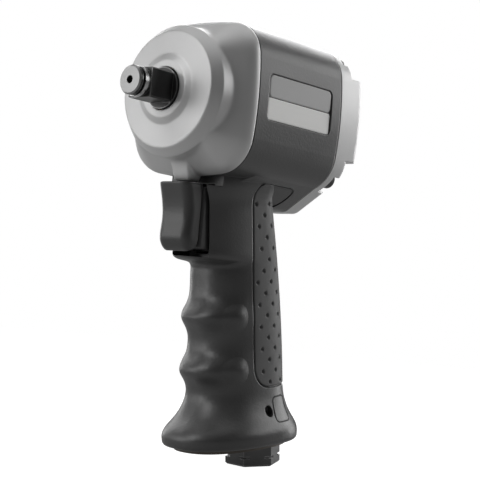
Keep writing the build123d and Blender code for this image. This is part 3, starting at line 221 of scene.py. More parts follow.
def finish(name, tone, second, rough, grain_scale, depth, metal=0.0, worn=None, soft_edge=None,
           highlight_beyond=None, sheen=0.5):
    """Principled surface with patches and grain. The two ends of tone and roughness are mixed by patches.

    Worn gives edges a bare tone, soft_edge makes edges look rounded by a radius, and a place on the X
    axis, when given, paints a highlight as a pale tone in front of it. Scales count per metre, depths and
    places are metres.
    """
    material = bpy.data.materials.new(name)
    material.use_nodes = True
    tree = material.node_tree
    surface = tree.nodes["Principled BSDF"]
    amount = use(tree, patches)
    colour = mix_colour(tree, amount, tone, second)
    roughness = mix_value(tree, amount, rough[0], rough[1])
    if worn is not None:
        mask = use(tree, edges)
        colour = mix_colour(tree, mask, colour, worn)
        roughness = mix_value(tree, mask, roughness, rough[0] * worn_gloss)
    # Painted highlight: in front of the given place on the X axis the colour turns pale grey.
    if highlight_beyond is not None:
        place = tree.nodes.new("ShaderNodeTexCoord")
        split = tree.nodes.new("ShaderNodeSeparateXYZ")
        tree.links.new(place.outputs["Object"], split.inputs["Vector"])
        front = spread(tree, split.outputs["X"], highlight_beyond, highlight_beyond + highlight_fade)
        colour = mix_colour(tree, front, colour, highlight_tone)
    tree.links.new(colour, surface.inputs["Base Color"])
    tree.links.new(roughness, surface.inputs["Roughness"])
    surface.inputs["Metallic"].default_value = metal
    surface.inputs["Specular IOR Level"].default_value = sheen
    bump = tree.nodes.new("ShaderNodeBump")
    bump.inputs["Strength"].default_value = 1.0
    bump.inputs["Distance"].default_value = depth
    tree.links.new(use(tree, grain, Scale=grain_scale), bump.inputs["Height"])
    if soft_edge is not None:
        round_over = tree.nodes.new("ShaderNodeBevel")
        round_over.samples = round_over_samples
        round_over.inputs["Radius"].default_value = soft_edge
        tree.links.new(round_over.outputs["Normal"], bump.inputs["Normal"])
    tree.links.new(bump.outputs["Normal"], surface.inputs["Normal"])
    return material


print("a finish can use", [group.name for group in (grain, patches, edges)])

# %% Finishes of the tool
finishes = {
    "composite": finish("composite", tone=0.046, second=0.055, rough=(0.36, 0.44),
                        grain_scale=900.0, depth=0.00006, soft_edge=0.0006, sheen=0.7),
    "cast_metal": finish("cast_metal", tone=0.54, second=0.58, rough=(0.42, 0.5),
                         grain_scale=1800.0, depth=0.00001, metal=0.5, soft_edge=0.0008),
    "gasket": finish("gasket", tone=0.02, second=0.026, rough=(0.7, 0.8),
                     grain_scale=2500.0, depth=0.00002),
    "grip_rubber": finish("grip_rubber", tone=0.068, second=0.08, rough=(0.5, 0.6),
                          grain_scale=2600.0, depth=0.00002),
    "trigger_plastic": finish("trigger_plastic", tone=0.04, second=0.048, rough=(0.29, 0.36),
                              grain_scale=1800.0, depth=0.00002),
    "black_steel": finish("black_steel", tone=0.03, second=0.042, rough=(0.32, 0.45),
                          grain_scale=1600.0, depth=0.00001, metal=0.6, worn=0.35),
    # The anvil's finish carries the painted highlight on its nose, from 18.4 mm along the X axis.
    "anvil_steel": finish("anvil_steel", tone=0.036, second=0.05, rough=(0.3, 0.42),
                          grain_scale=1600.0, depth=0.00001, metal=0.6, worn=0.35, highlight_beyond=0.0184),
    "inlet_steel": finish("inlet_steel", tone=0.1, second=0.13, rough=(0.28, 0.38),
                          grain_scale=1600.0, depth=0.00001, metal=0.8, worn=0.4),
    "bright_steel": finish("bright_steel", tone=0.5, second=0.56, rough=(0.25, 0.36),
                           grain_scale=2400.0, depth=0.00001, metal=1.0),
    "bronze": finish("bronze", tone=(0.5, 0.33, 0.15), second=(0.43, 0.28, 0.13), rough=(0.3, 0.42),
                     grain_scale=2400.0, depth=0.00001, metal=1.0),
    "vane_plastic": finish("vane_plastic", tone=(0.1, 0.085, 0.07), second=(0.12, 0.1, 0.08),
                           rough=(0.5, 0.6), grain_scale=2400.0, depth=0.00002),
    "felt": finish("felt", tone=(0.3, 0.29, 0.27), second=(0.36, 0.35, 0.32), rough=(0.9, 1.0),
                   grain_scale=1200.0, depth=0.0001),
}
slot_of = {row["node"]: row["material_slot"] for row in frame["record"]["subparts"]}
for name, piece in nodes.items():
    piece.data.materials.clear()
    piece.data.materials.append(finishes[slot_of[name]])
nodes["anvil"].data.materials[0] = finishes["anvil_steel"]
nodes["inlet_bushing"].data.materials[0] = finishes["inlet_steel"]
print("finishes", sorted(finishes))

# %% [markdown]
# ## Helpers for formula surfaces
#
# The skin and the plates are thin sheets with a rounded outline and a rolled edge. They could be
# modelled by hand and bevelled, but a formula keeps them true to the CAD: a grid of points is worked
# out as whole arrays, pushed in along its own normals where an edge rolls over or a pit sinks in, and
# given a low wall round its rim so that no gap shows under it. The cast front, the ends of the ridges
# and the outline are grids too, so they share the way from a grid to a mesh.

# %% Rounds and borders
def corner_cut(distance, radius):
    """How far a quarter round falls back at a distance from its edge:
    radius - sqrt(radius^2 - (radius - distance)^2), and 0 further in than the radius."""
    inside = np.clip(radius - distance, 0.0, radius)
    return radius - np.sqrt(radius ** 2 - inside ** 2)


def border_distance(side_room, end_room, radius):
    """Distance to an outline with round corners, from the distances to its side and to its end:
    radius - hypot(radius - side_room, radius - end_room), each difference at least 0."""
    return radius - np.hypot(np.clip(radius - side_room, 0.0, None), np.clip(radius - end_room, 0.0, None))


def corner_steps(radius, pitch):
    """Depths of evenly spaced points on a quarter round: radius * (1 - cos(turn))."""
    turn = np.linspace(0.0, np.pi / 2.0, int(np.pi * radius / 2.0 / pitch) + 2)
    return radius * (1.0 - np.cos(turn))


def rounded_steps(start, end, start_radius, end_radius, pitch):
    """Rising places from start to end, even in the middle and spaced for a round corner at each end."""
    first = start + corner_steps(start_radius, pitch)
    last = end - corner_steps(end_radius, pitch)[::-1]
    count = int((last[0] - first[-1]) / pitch) + 2
    return np.concatenate([first, np.linspace(first[-1], last[0], count)[1:-1], last])


print("a 1 mm round falls back", np.round(corner_cut(np.array([0.0, 0.25, 0.5, 1.0]), 1.0), 2))

# %% Grids with a rolled edge
def outward(points):
    """Unit normals of a grid: the cross product of its two directions."""
    normal = np.cross(np.gradient(points, axis=1), np.gradient(points, axis=0))
    return normal / np.linalg.norm(normal, axis=2, keepdims=True)


def dressed(points, sink, wall):
    """Grid pushed in along its normals by sink, with a wall of the given depth round its rim."""
    rim = ((1, 1), (1, 1))
    normal = np.pad(outward(points), rim + ((0, 0),), mode="edge")
    sink = np.pad(sink, rim, constant_values=wall)
    return np.pad(points, rim + ((0, 0),), mode="edge") - normal * sink[..., None]


print("helpers", [helper.__name__ for helper in (outward, dressed)])

# %% From grids to a piece
MM = 0.001
seam_gap = 0.001 * MM


def grid_quads(rows, columns, start):
    """Corner numbers of every cell of a grid whose first point has the number start."""
    index = np.arange(rows * columns).reshape(rows, columns) + start
    corners = [index[:-1, :-1], index[:-1, 1:], index[1:, 1:], index[1:, :-1]]
    return np.stack(corners, -1).reshape(-1, 4)


def place_piece(name, mesh, material, body="housing"):
    """Smooth-shaded piece with a finish, on a body of the frame."""
    mesh.polygons.foreach_set("use_smooth", np.ones(len(mesh.polygons), dtype=bool))
    mesh.materials.clear()
    mesh.materials.append(material)
    piece = bpy.data.objects.new(name, mesh)
    bpy.context.scene.collection.objects.link(piece)
    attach(piece, body)
    print(name, len(mesh.polygons), "faces on", body)
    return piece


def welded(mesh, gap):
    """Joins points closer than a gap, so that seams and poles are closed."""
    weld = bmesh.new()
    weld.from_mesh(mesh)
    bmesh.ops.remove_doubles(weld, verts=weld.verts, dist=gap)
    weld.to_mesh(mesh)
    weld.free()


def make_piece(name, grids, material):
    """Mesh of one or more grids in millimetres, fixed to the housing."""
    starts = np.cumsum([0] + [grid.shape[0] * grid.shape[1] for grid in grids])
    places = np.concatenate([grid.reshape(-1, 3) for grid in grids]) * MM
    quads = np.concatenate([grid_quads(*grid.shape[:2], start) for grid, start in zip(grids, starts)])
    mesh = bpy.data.meshes.new(name)
    mesh.from_pydata(places.tolist(), [], quads.tolist())
    welded(mesh, seam_gap)
    return place_piece(name, mesh, material)


print("a grid of 3 by 2 points has the cells", grid_quads(3, 2, 0).tolist())

# %% [markdown]
# ## Soft cast front
#
# The hammer case is a casting: a round drum grows out of a square, flared body, and the two meet
# in soft creases. In the CAD the body is a loft with hollows cut into it, and their edges stay
# hard. A copy of it could be remeshed and smoothed, but that blurs the drum along with the creases.
# Here the whole case is one grid of rings. In front and inside, the rings are plain circles along a
# profile. On the shoulder, each ring is the larger of two outlines: the drum's circle and the
# barrel's outline moved in by an amount that shrinks towards the lip.

# %% Barrel's outline
barrel_half_width, barrel_half_height, barrel_drop = 34.0, 33.8, 0.6
barrel_corner, barrel_bulge = 17.0, 0.92
corner_y = barrel_half_width - barrel_corner - barrel_bulge
corner_z = barrel_half_height - barrel_corner - barrel_bulge


def side_centre(half):
    """Centre, on the line through the middle, of the wide arc of a side that reaches half and runs into
    the corner round without a kink: ((half - corner)^2 - corner_y^2 - corner_z^2) / (2 * bulge)."""
    return ((half - barrel_corner) ** 2 - corner_y ** 2 - corner_z ** 2) / (2.0 * barrel_bulge)


def circle_reach(across, up, centre_y, centre_z, radius):
    """Distance from the middle to a circle in a direction: d + sqrt(d^2 - centre^2 + radius^2)."""
    ahead = centre_y * across + centre_z * up
    return ahead + np.sqrt(np.clip(ahead ** 2 - centre_y ** 2 - centre_z ** 2 + radius ** 2, 0.0, None))


def outline_reach(turn, inset):
    """Distance from the barrel's middle to its outline, moved in by inset: the reach to the arc of the
    side, of the top or of the corner, by the span of directions that each arc covers."""
    across, up = np.abs(np.cos(turn)), np.abs(np.sin(turn))
    side, top = side_centre(barrel_half_width), side_centre(barrel_half_height)
    round_radius = barrel_corner - inset
    side_tilt = np.arctan2(corner_z, corner_y - side)
    top_tilt = np.arctan2(corner_z - top, corner_y)
    slope = np.arctan2(up, across)
    low = np.arctan2(corner_z + round_radius * np.sin(side_tilt),
                     corner_y + round_radius * np.cos(side_tilt))
    high = np.arctan2(corner_z + round_radius * np.sin(top_tilt),
                      corner_y + round_radius * np.cos(top_tilt))
    on_side = circle_reach(across, up, side, 0.0, barrel_half_width - side - inset)
    on_top = circle_reach(across, up, 0.0, top, barrel_half_height - top - inset)
    on_corner = circle_reach(across, up, corner_y, corner_z, round_radius)
    return np.where(slope < low, on_side, np.where(slope > high, on_top, on_corner))


print("barrel reaches", np.round(outline_reach(np.radians([0.0, 45.0, 90.0]), 0.0), 2))

# %% Shoulder and lip of the case
drum_radius, crease_blend = 28.5, 0.8
lip_full, lip_end, case_back = -23.2, -23.68, -23.7
lip_round, shoulder_slope = 6.5, 0.9
slope_start = lip_full + lip_round * shoulder_slope
lug_half_width, lug_reach, lug_soft = 4.5, 36.4, 1.5
lug_middle, lug_lean, lug_least_fall = -16.2, 3.4, 0.5
shoulder_front, case_columns, ring_pitch = -7.6, 481, 0.35


def eased(share):
    """Soft step: share^2 * (3 - 2 * share), level outside 0 to 1."""
    share = np.clip(share, 0.0, 1.0)
    return share * share * (3.0 - 2.0 * share)


def shoulder_reach(on_x, turn):
    """Soft maximum (a + b + sqrt((a - b)^2 + blend^2)) / 2 of drum and flared body, with the lug.

    From the lip forward the body narrows by x^2 / (2 * lip_round), and evenly from slope_start on. The
    lug is a level underside, lug_reach / fall of the direction, inside soft steps beside and before it.
    """
    drum = circle_reach(np.cos(turn), np.sin(turn), 0.0, barrel_drop, drum_radius)
    rounded = np.clip(on_x, lip_full, slope_start) - lip_full
    inset = rounded ** 2 / (2.0 * lip_round) + shoulder_slope * np.clip(on_x - slope_start, 0.0, None)
    body = outline_reach(turn, inset)
    blend = crease_blend * rounded / (slope_start - lip_full)
    reach = (drum + body + np.sqrt((drum - body) ** 2 + blend ** 2)) / 2.0
    lug = lug_reach / np.maximum(-np.sin(turn), lug_least_fall)
    beside = np.abs(reach * np.cos(turn)) - lug_half_width
    window = (1.0 - eased(beside / lug_soft + 0.5)) * eased((lug_middle - on_x) / lug_lean + 0.5)
    window = window * (np.sin(turn) < 0.0)
    return reach + np.clip(lug - reach, 0.0, None) * window


def softened(grid):
    """Means of each value with its neighbours, weighted 1 2 1, along the rings and across them."""
    grid = (np.roll(grid, 1, axis=1) + 2.0 * grid + np.roll(grid, -1, axis=1)) / 4.0
    inner = (grid[:-2] + 2.0 * grid[1:-1] + grid[2:]) / 4.0
    return np.concatenate([grid[:1], inner, grid[-1:]])


case_turn = np.linspace(0.0, -2.0 * np.pi, case_columns)[None, :]
even_x = np.arange(shoulder_front, lip_end + ring_pitch / 2.0, -ring_pitch)
shoulder_x = np.append(even_x, lip_end)[:, None]
shoulder_grid = softened(shoulder_reach(shoulder_x, case_turn[:, :-1]))
shoulder_grid = np.concatenate([shoulder_grid, shoulder_grid[:, :1]], axis=1)
print("shoulder rings", shoulder_grid.shape)

# %% Rings of the case
# Both profiles are places (x, radius): the face from the anvil's opening to the drum's edge, and the
# inside from the joint through the hammers' room and the bushing's seat back to the opening.
front_profile = ((-4.0, 9.2), (-1.0, 9.2), (-1.0, 12.3), (-2.4, 15.3), (-3.2, 25.3), (-7.2, 28.4))
inner_profile = ((case_back, 24.8), (-7.0, 24.8), (-7.0, 14.0), (-11.8, 14.0), (-11.8, 11.0),
                 (-4.0, 11.0), (-4.0, 9.2))
profile_pitch, corner_passes = 0.3, 2


def even_profile(corners, pitch):
    """Evenly spaced points along a line with corners, each corner eased by a few 1 2 1 means."""
    corners = np.array(corners)
    lengths = np.concatenate([[0.0], np.cumsum(np.hypot(*np.diff(corners, axis=0).T))])
    steps = np.linspace(0.0, lengths[-1], int(lengths[-1] / pitch) + 1)
    points = np.stack([np.interp(steps, lengths, corners[:, axis]) for axis in range(2)], -1)
    for _ in range(corner_passes):
        points[1:-1] = (points[:-2] + 2.0 * points[1:-1] + points[2:]) / 4.0
    return points


def circle_rings(profile):
    """Rings about the drive axis, one for each place (x, radius) of a profile."""
    place, radius = np.array(profile).T[:, :, None]
    ring = np.ones_like(case_turn)
    return np.stack([place * ring, radius * np.cos(case_turn), radius * np.sin(case_turn)], -1)


def barrel_rings(place, reach):
    """Rings about the barrel's middle, at the places x and with the reach of every direction."""
    return np.stack([place * np.ones_like(reach), reach * np.cos(case_turn),
                     reach * np.sin(case_turn) - barrel_drop], -1)


back_ring = barrel_rings(np.array([[case_back]]), shoulder_grid[-1:])
case_rings = np.concatenate([circle_rings(even_profile(front_profile, profile_pitch)),
                             barrel_rings(shoulder_x, shoulder_grid), back_ring,
                             circle_rings(inner_profile)])
cast_front = make_piece("cast_front", [case_rings], finishes["cast_metal"])
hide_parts("hammer_case")

# %% [markdown]
# ## Soft trigger
#
# The trigger is a moulding with full, soft edges and a round heel, and its stem fills the slot of the
# housing. The CAD's trigger has hard edges, a squarer heel and a narrower stem. A Bevel modifier could
# soften it, but it needs clean edges, which the CAD's loose triangles don't give. So a copy is welded
# and divided into even cells, its heel is brought onto a round of its own, and its stem is widened.
# Then it is relaxed: every point moves towards the mean of its neighbours.

# %% Even cells that relax
copy_gap = 0.01 * MM


def even_copy(node, size):
    """Mesh of a node's form in even cells, from a welded copy."""
    mesh = nodes[node].data.copy()
    welded(mesh, copy_gap)
    copy = bpy.data.objects.new("even_copy", mesh)
    bpy.context.scene.collection.objects.link(copy)
    cells = copy.modifiers.new("cells", "REMESH")
    cells.mode = "VOXEL"
    cells.voxel_size = size
    even = bpy.data.meshes.new_from_object(copy.evaluated_get(bpy.context.evaluated_depsgraph_get()))
    bpy.data.objects.remove(copy)
    return even


def mesh_points(mesh):
    """Places in millimetres and pairs of neighbours of a mesh."""
    places = np.empty(3 * len(mesh.vertices))
    mesh.vertices.foreach_get("co", places)
    pairs = np.empty(2 * len(mesh.edges), dtype=np.int32)
    mesh.edges.foreach_get("vertices", pairs)
    return places.reshape(-1, 3) / MM, pairs.reshape(-1, 2)


def relaxed(places, pairs, pull, rounds):
    """Moves every point by a share of the way to the mean of the points it shares an edge with."""
    ends, others = pairs.ravel(), pairs[:, ::-1].ravel()
    neighbours = np.bincount(ends, minlength=len(places))
    for _ in range(rounds):
        sums = [np.bincount(ends, weights=places[others, axis], minlength=len(places)) for axis in range(3)]
        places = places + pull * (np.stack(sums, -1) / neighbours[:, None] - places)
    return places


bent_line = np.array([[0.0, 0.0, 0.0], [1.0, 1.0, 0.0], [2.0, 0.0, 0.0]])
print("a bent line relaxes to", relaxed(bent_line, np.array([[0, 1], [1, 2]]), 0.5, 1).tolist())

# %% Trigger
trigger_cell = 0.4 * MM
cap_back, trigger_bottom, heel_round = -22.0, -68.5, 7.5
stem_back, stem_half_width, wide_stem_half_width = -31.0, 6.0, 9.4
trigger_pull, trigger_rounds = 0.5, 10
face_slack = 0.2

trigger_mesh = even_copy("trigger", trigger_cell)
places, pairs = mesh_points(trigger_mesh)
in_stem = (places[:, 0] < cap_back - face_slack) & (places[:, 0] > stem_back - face_slack)
places[:, 1] *= np.where(in_stem, wide_stem_half_width / stem_half_width, 1.0)
# Points behind and below the heel's centre that lie further from it than heel_round are drawn in to
# that round.
behind = np.clip(cap_back + heel_round - places[:, 0], 0.0, None)
below = np.clip(trigger_bottom + heel_round - places[:, 2], 0.0, None)
at_heel = (behind > 0.0) & (below > 0.0) & (places[:, 0] > cap_back - face_slack)
excess = 1.0 - heel_round / np.maximum(np.hypot(behind, below), heel_round)
places[:, 0] += behind * excess * at_heel
places[:, 2] += below * excess * at_heel
places = relaxed(places, pairs, trigger_pull, trigger_rounds)
trigger_mesh.vertices.foreach_set("co", (places * MM).ravel())
trigger_finish = finishes["trigger_plastic"]
soft_trigger = place_piece("soft_trigger", trigger_mesh, trigger_finish, "trigger")
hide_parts("trigger")

# %% [markdown]
# ## The handle's form
#
# The rubber skin lies flush in the back of the handle, and the ends of the ridges and the outline lie
# on it, so they need the handle's own shape. They could be projected onto its mesh with a modifier,
# but the CAD's facets would show through, so the shape is worked out again. Across its raked axis the
# handle is an oval between an ellipse and a box, with one reach to the front, another to the rear and
# a half width, and each of these changes on the way down: the trigger pocket, two finger ridges, a
# slow swell at the back and the flare of the foot.

# %% Handle
rake = radians(7.85)
handle_top = np.array([-52.3, 0.0, -35.0])
down_axis = np.array([-sin(rake), 0.0, -cos(rake)])
ahead_axis = np.array([cos(rake), 0.0, -sin(rake)])
left_axis = np.array([0.0, 1.0, 0.0])
oval_power = 2.4
flare_start, flare_end = 89.0, 107.5
front_flare, rear_flare, side_flare = 13.9, 6.0, 6.4
rear_start, rear_top, rear_foot = 5.0, 13.5, 23.0
width_top, width_foot = 16.8, 18.0
neck_length, neck_flare = 9.0, 3.0
pocket_front, pocket_end = 33.9, 30.0
throat_start, throat_front, foot_front = 34.8, 20.5, 23.8
ridge_places, ridge_height, ridge_spread = (57.0, 80.3), 6.0, 3.9


def rise(value, start, end):
    """Straight rise from 0 at start to 1 at end, level outside."""
    return np.clip((value - start) / (end - start), 0.0, 1.0)


def flare(along):
    """Opening of the foot: the square of a straight rise."""
    return rise(along, flare_start, flare_end) ** 2


def front_reach(along):
    """Pocket above, a soft step down, then the throat with two bell-shaped ridges and the foot's flare."""
    low = throat_front + (foot_front - throat_front) * rise(along, throat_start, flare_start)
    for place in ridge_places:
        low = low + ridge_height * np.exp(-0.5 * ((along - place) / ridge_spread) ** 2)
    low = low + front_flare * flare(along)
    return pocket_front + (low - pocket_front) * eased(rise(along, pocket_end, throat_start))


def rear_reach(along):
    """Swell that eases out as 1 - (1 - share)^2, plus the foot's flare."""
    share = rise(along, rear_start, flare_start)
    return rear_top + (rear_foot - rear_top) * (1.0 - (1.0 - share) ** 2) + rear_flare * flare(along)


def half_width(along):
    """Straight taper, plus the square of the neck's rise and the foot's flare."""
    neck = rise(-along, -neck_length, 0.0)
    width = width_top + (width_foot - width_top) * rise(along, 0.0, flare_start)
    return width + neck_flare * neck ** 2 + side_flare * flare(along)


def handle_point(along, turn):
    """Point on the oval |ahead / length|^2.4 + |left / width|^2.4 = 1, turned from the rear to the left."""
    ahead, left = -np.cos(turn), np.sin(turn)
    length = np.where(ahead > 0.0, front_reach(along), rear_reach(along))
    size = (np.abs(ahead) / length) ** oval_power + (np.abs(left) / half_width(along)) ** oval_power
    reach = size ** (-1.0 / oval_power)
    level = handle_top + along[..., None] * down_axis
    return level + (reach * ahead)[..., None] * ahead_axis + (reach * left)[..., None] * left_axis


handle_middle = np.array(flare_start / 2.0)
print("handle is", round(float(2.0 * half_width(handle_middle)), 1), "mm wide in the middle")

# %% [markdown]
# ## Ends of the finger ridges
#
# On the tool the two finger ridges run further round the flanks, to a round end. In the CAD they
# fade with the oval. The housing's mesh could be sculpted there, but it is loose triangles of uneven
# size. Instead, four low swellings carry the ridges on: each is a grid on the handle's own surface,
# lifted by a bell along the handle times a window round it, and sunk out of sight at its border.

# %% Swellings beside the ridges
swell_height, swell_spread, swell_reach = 1.3, 3.3, 10.0
swell_sink, swell_wall = 0.25, 0.75
window_start, window_full = radians(24.0), radians(44.0)
window_fall, window_end = radians(46.0), radians(63.0)
swell_columns, swell_rows = 61, 81


def swelling(place, side):
    """Surface lifted by height * exp(-(along / spread)^2 / 2) * window, on the left (1) or right (-1)."""
    places = np.linspace(place - swell_reach, place + swell_reach, swell_rows)
    angles = np.linspace(window_start, window_end, swell_columns)[::-side]
    along, from_front = np.meshgrid(places, angles, indexing="ij")
    window = eased(rise(from_front, window_start, window_full))
    window = window * (1.0 - eased(rise(from_front, window_fall, window_end)))
    lift = swell_height * np.exp(-0.5 * ((along - place) / swell_spread) ** 2) * window - swell_sink
    surface = handle_point(along, side * (np.pi - from_front))
    return dressed(surface, -lift, swell_wall)


swellings = [swelling(place, side) for place in ridge_places for side in (1, -1)]
make_piece("ridge_ends", swellings, finishes["composite"])

# %% [markdown]
# ## Dimpled rubber skin
#
# On the tool this is a soft moulding pressed into a shallow bed: a narrow groove runs round it and
# its face has staggered rows of small pits. Bump mapping would fake the pits, but their rims
# catch the light, so they are sunk into a fine grid. Arc length round the handle places the
# columns, which is why they stay parallel to the handle's back as it swells. The two ends that
# turn under the barrel are flat sheets on the slanted flanks of the keel.

# %% Skin on the handle
bed_front, bed_top, bed_bottom, bed_depth = 7.5, -2.0, 89.4, 1.5
bed_top_round, bed_bottom_round = 6.0, 10.0
groove, skin_roll = 0.75, 0.6
skin_pitch, widest_half_arc = 0.3, 36.0
skin_front = bed_front - groove
skin_top, skin_bottom = bed_top + groove, bed_bottom - groove
top_round, bottom_round = bed_top_round - groove, bed_bottom_round - groove
skin_columns = 2 * int(widest_half_arc / skin_pitch) + 1

skin_rows = rounded_steps(skin_top, skin_bottom, top_round, bottom_round, skin_pitch)
top_room, bottom_room = skin_rows - skin_top, skin_bottom - skin_rows
edge_ahead = skin_front - corner_cut(top_room, top_round) - corner_cut(bottom_room, bottom_round)
edge_length = np.where(edge_ahead > 0.0, front_reach(skin_rows), rear_reach(skin_rows))
edge_share = (1.0 - (np.abs(edge_ahead) / edge_length) ** oval_power) ** (1.0 / oval_power)
edge_turn = np.arctan2(half_width(skin_rows) * edge_share, -edge_ahead)
skin_turn = edge_turn[:, None] * np.linspace(-1.0, 1.0, skin_columns)
skin_along = np.repeat(skin_rows[:, None], skin_columns, axis=1)
smooth_skin = handle_point(skin_along, skin_turn)
side_room = skin_front - (smooth_skin - handle_top) @ ahead_axis
skin_border = np.minimum(border_distance(side_room, top_room[:, None], top_round),
                         border_distance(side_room, bottom_room[:, None], bottom_round))
print("skin grid", smooth_skin.shape[:2])

# %% Pits
pit_radius, pit_depth, pit_power, pit_margin = 1.15, 0.95, 1.5, 1.75
column_pitch, row_pitch, first_pit_row = 4.65, 4.935, 7.7

# Arc length round the handle, counted both ways from the middle of its back.
steps = np.linalg.norm(np.diff(smooth_skin, axis=1), axis=2)
run = np.pad(np.cumsum(steps, axis=1), ((0, 0), (1, 0)))
arc = run - run[:, skin_columns // 2, None]


def nearest(value, first, pitch):
    """Nearest member of first, first + pitch, first + 2 pitch and so on, both ways."""
    return first + pitch * np.round((value - first) / pitch)


def pit_sink(stagger):
    """Every second column's pits, each depth * (1 - (distance / radius)^2)^1.5, where there is room."""
    middle_arc = nearest(arc, (0.5 + stagger) * column_pitch, 2.0 * column_pitch)
    middle_along = nearest(skin_along, first_pit_row + stagger * row_pitch, 2.0 * row_pitch)
    room = np.interp(middle_along, skin_rows, arc[:, -1]) - np.abs(middle_arc)
    fits = (room > pit_margin) & (middle_along > first_pit_row - pit_margin)
    fits = fits & (middle_along < skin_bottom - pit_margin)
    distance = np.hypot(arc - middle_arc, skin_along - middle_along) / pit_radius
    return np.where(fits, pit_depth * np.clip(1.0 - distance ** 2, 0.0, None) ** pit_power, 0.0)


pits = pit_sink(0) + pit_sink(1)
skin_grid = dressed(smooth_skin, corner_cut(skin_border, skin_roll) + pits, bed_depth)
print("pits cover", round(float(100.0 * np.mean(pits > 0.0)), 1), "percent of the skin")

# %% Flat panels
def flat_panel(back, front, top, bottom, radius, pitch):
    """Rounded rectangle seen from the left: grids of x and z, and each point's distance to the outline."""
    half, middle = (front - back) / 2.0, (front + back) / 2.0
    fall = rounded_steps(0.0, top - bottom, radius, radius, pitch)
    end_room = np.minimum(fall, top - bottom - fall)[:, None]
    columns = np.linspace(-1.0, 1.0, int(2.0 * half / pitch) + 2)
    x = middle + (half - corner_cut(end_room, radius)) * columns
    z = np.repeat(top - fall[:, None], len(columns), axis=1)
    return x, z, border_distance(half - np.abs(x - middle), end_room, radius)


print("a panel of 20 by 10 mm has", flat_panel(0.0, 20.0, 10.0, 0.0, 3.0, 1.0)[0].shape, "points")

# %% Ends of the skin under the barrel
# The flank is a straight line from flank_top to flank_bottom, places (y, z) on the left side.
flank_top, flank_bottom = (25.2, -30.5), (6.5, -43.0)
end_bed_front, end_bed_back, end_bed_top, end_bed_bottom = -50.0, -72.6, -33.8, -42.5
end_bed_round = 4.0
mirrored = np.array([1.0, -1.0, 1.0])

fall_per_width = (flank_top[1] - flank_bottom[1]) / (flank_top[0] - flank_bottom[0])
end_groove = groove * fall_per_width
end_x, end_z, end_border = flat_panel(end_bed_back + groove, end_bed_front - groove,
                                      end_bed_top - end_groove, end_bed_bottom + end_groove,
                                      end_bed_round - groove, skin_pitch)
end_y = flank_top[0] + (end_z - flank_top[1]) / fall_per_width
left_end = dressed(np.stack([end_x, end_y, end_z], -1), corner_cut(end_border, skin_roll), bed_depth)
right_end = (left_end * mirrored)[:, ::-1]
skin_grids = [skin_grid, left_end, right_end]
grip_skin = make_piece("grip_skin", skin_grids, finishes["grip_rubber"])
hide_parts("grip_inlay")

# %% [markdown]
# ## Blank plates in the side recess
#
# The recess on the left of the barrel holds a grey plate above and a pale label below. Both stay
# bare. Two bevelled boxes would do, but the round outline and the rolled edge are already there as
# helpers, so each is a thin sheet on the recess floor, a little smaller than the recess.

# %% Plates
recess_floor, sheet_pitch = 33.1, 0.6
plate_outline = {"back": -73.9, "front": -30.9, "top": 10.3, "bottom": 0.7, "radius": 2.4}
label_outline = {"back": -74.0, "front": -30.8, "top": 0.4, "bottom": -9.1, "radius": 1.2}
plate_thickness, plate_roll = 0.45, 0.3
label_thickness, label_roll = 0.3, 0.2


def recess_sheet(outline, thickness, edge_roll):
    """Sheet on the recess floor: y = floor + thickness, rolled over at its outline."""
    x, z, room = flat_panel(**outline, pitch=sheet_pitch)
    y = np.full_like(x, recess_floor + thickness)
    return dressed(np.stack([x, y, z], -1), corner_cut(room, edge_roll), thickness)


bare_plate = finish("bare_plate", tone=0.45, second=0.5, rough=(0.4, 0.5),
                    grain_scale=2400.0, depth=0.00001)
label_film = finish("label_film", tone=(0.94, 0.94, 0.92), second=(0.96, 0.96, 0.94), rough=(0.35, 0.42),
                    grain_scale=600.0, depth=0.000005)
plate_grid = recess_sheet(plate_outline, plate_thickness, plate_roll)
label_grid = recess_sheet(label_outline, label_thickness, label_roll)
make_piece("side_plate", [plate_grid], bare_plate)
make_piece("side_label", [label_grid], label_film)

# %% [markdown]
# ## Outline beside the foot
#
# A small framed field sits behind the pin hole. Its frame could be drawn by a texture, but a raised
# line has an edge that catches the light. So a fine half-round bead is carried along a closed path on
# the handle, |u|^6 + |v|^6 = 1 in turn and length, which is a rectangle with soft corners. The bead
# wears the near-black gasket finish, a painted shade that stands in for the shadow along the line.

# %% Path on the handle
field_middle_turn, field_half_turn = radians(66.0), radians(13.5)
field_lean = radians(0.6)
field_middle, field_half = 99.0, 5.4
path_points, corner_power = 161, 6.0
normal_step = 1e-4


def soft_rectangle(count, power):
    """Closed path |u|^power + |v|^power = 1, from u = signed |cos|^(2 / power) and v from the sine."""
    angle = np.linspace(0.0, 2.0 * np.pi, count)
    around, up = np.cos(angle), np.sin(angle)
    return np.sign(around) * np.abs(around) ** (2.0 / power), np.sign(up) * np.abs(up) ** (2.0 / power)


def handle_normal(along, turn):
    """Outward unit normal from two short steps on the handle."""
    around = handle_point(along, turn + normal_step) - handle_point(along, turn - normal_step)
    down = handle_point(along + normal_step, turn) - handle_point(along - normal_step, turn)
    normal = np.cross(around, down)
    return normal / np.linalg.norm(normal, axis=-1, keepdims=True)


u, v = soft_rectangle(path_points, corner_power)
path_along = field_middle + field_half * v
path_turn = field_middle_turn + field_half_turn * u + field_lean * (path_along - field_middle)
path = handle_point(path_along, path_turn)
print("path round the field", round(float(np.linalg.norm(np.diff(path, axis=0), axis=1).sum()), 1), "mm")

# %% Bead along the path
# Each cross-section is path + half_width * cos(turn) * side + height * sin(turn) * up.
bead_half_width, bead_height, bead_points = 0.4, 0.18, 7

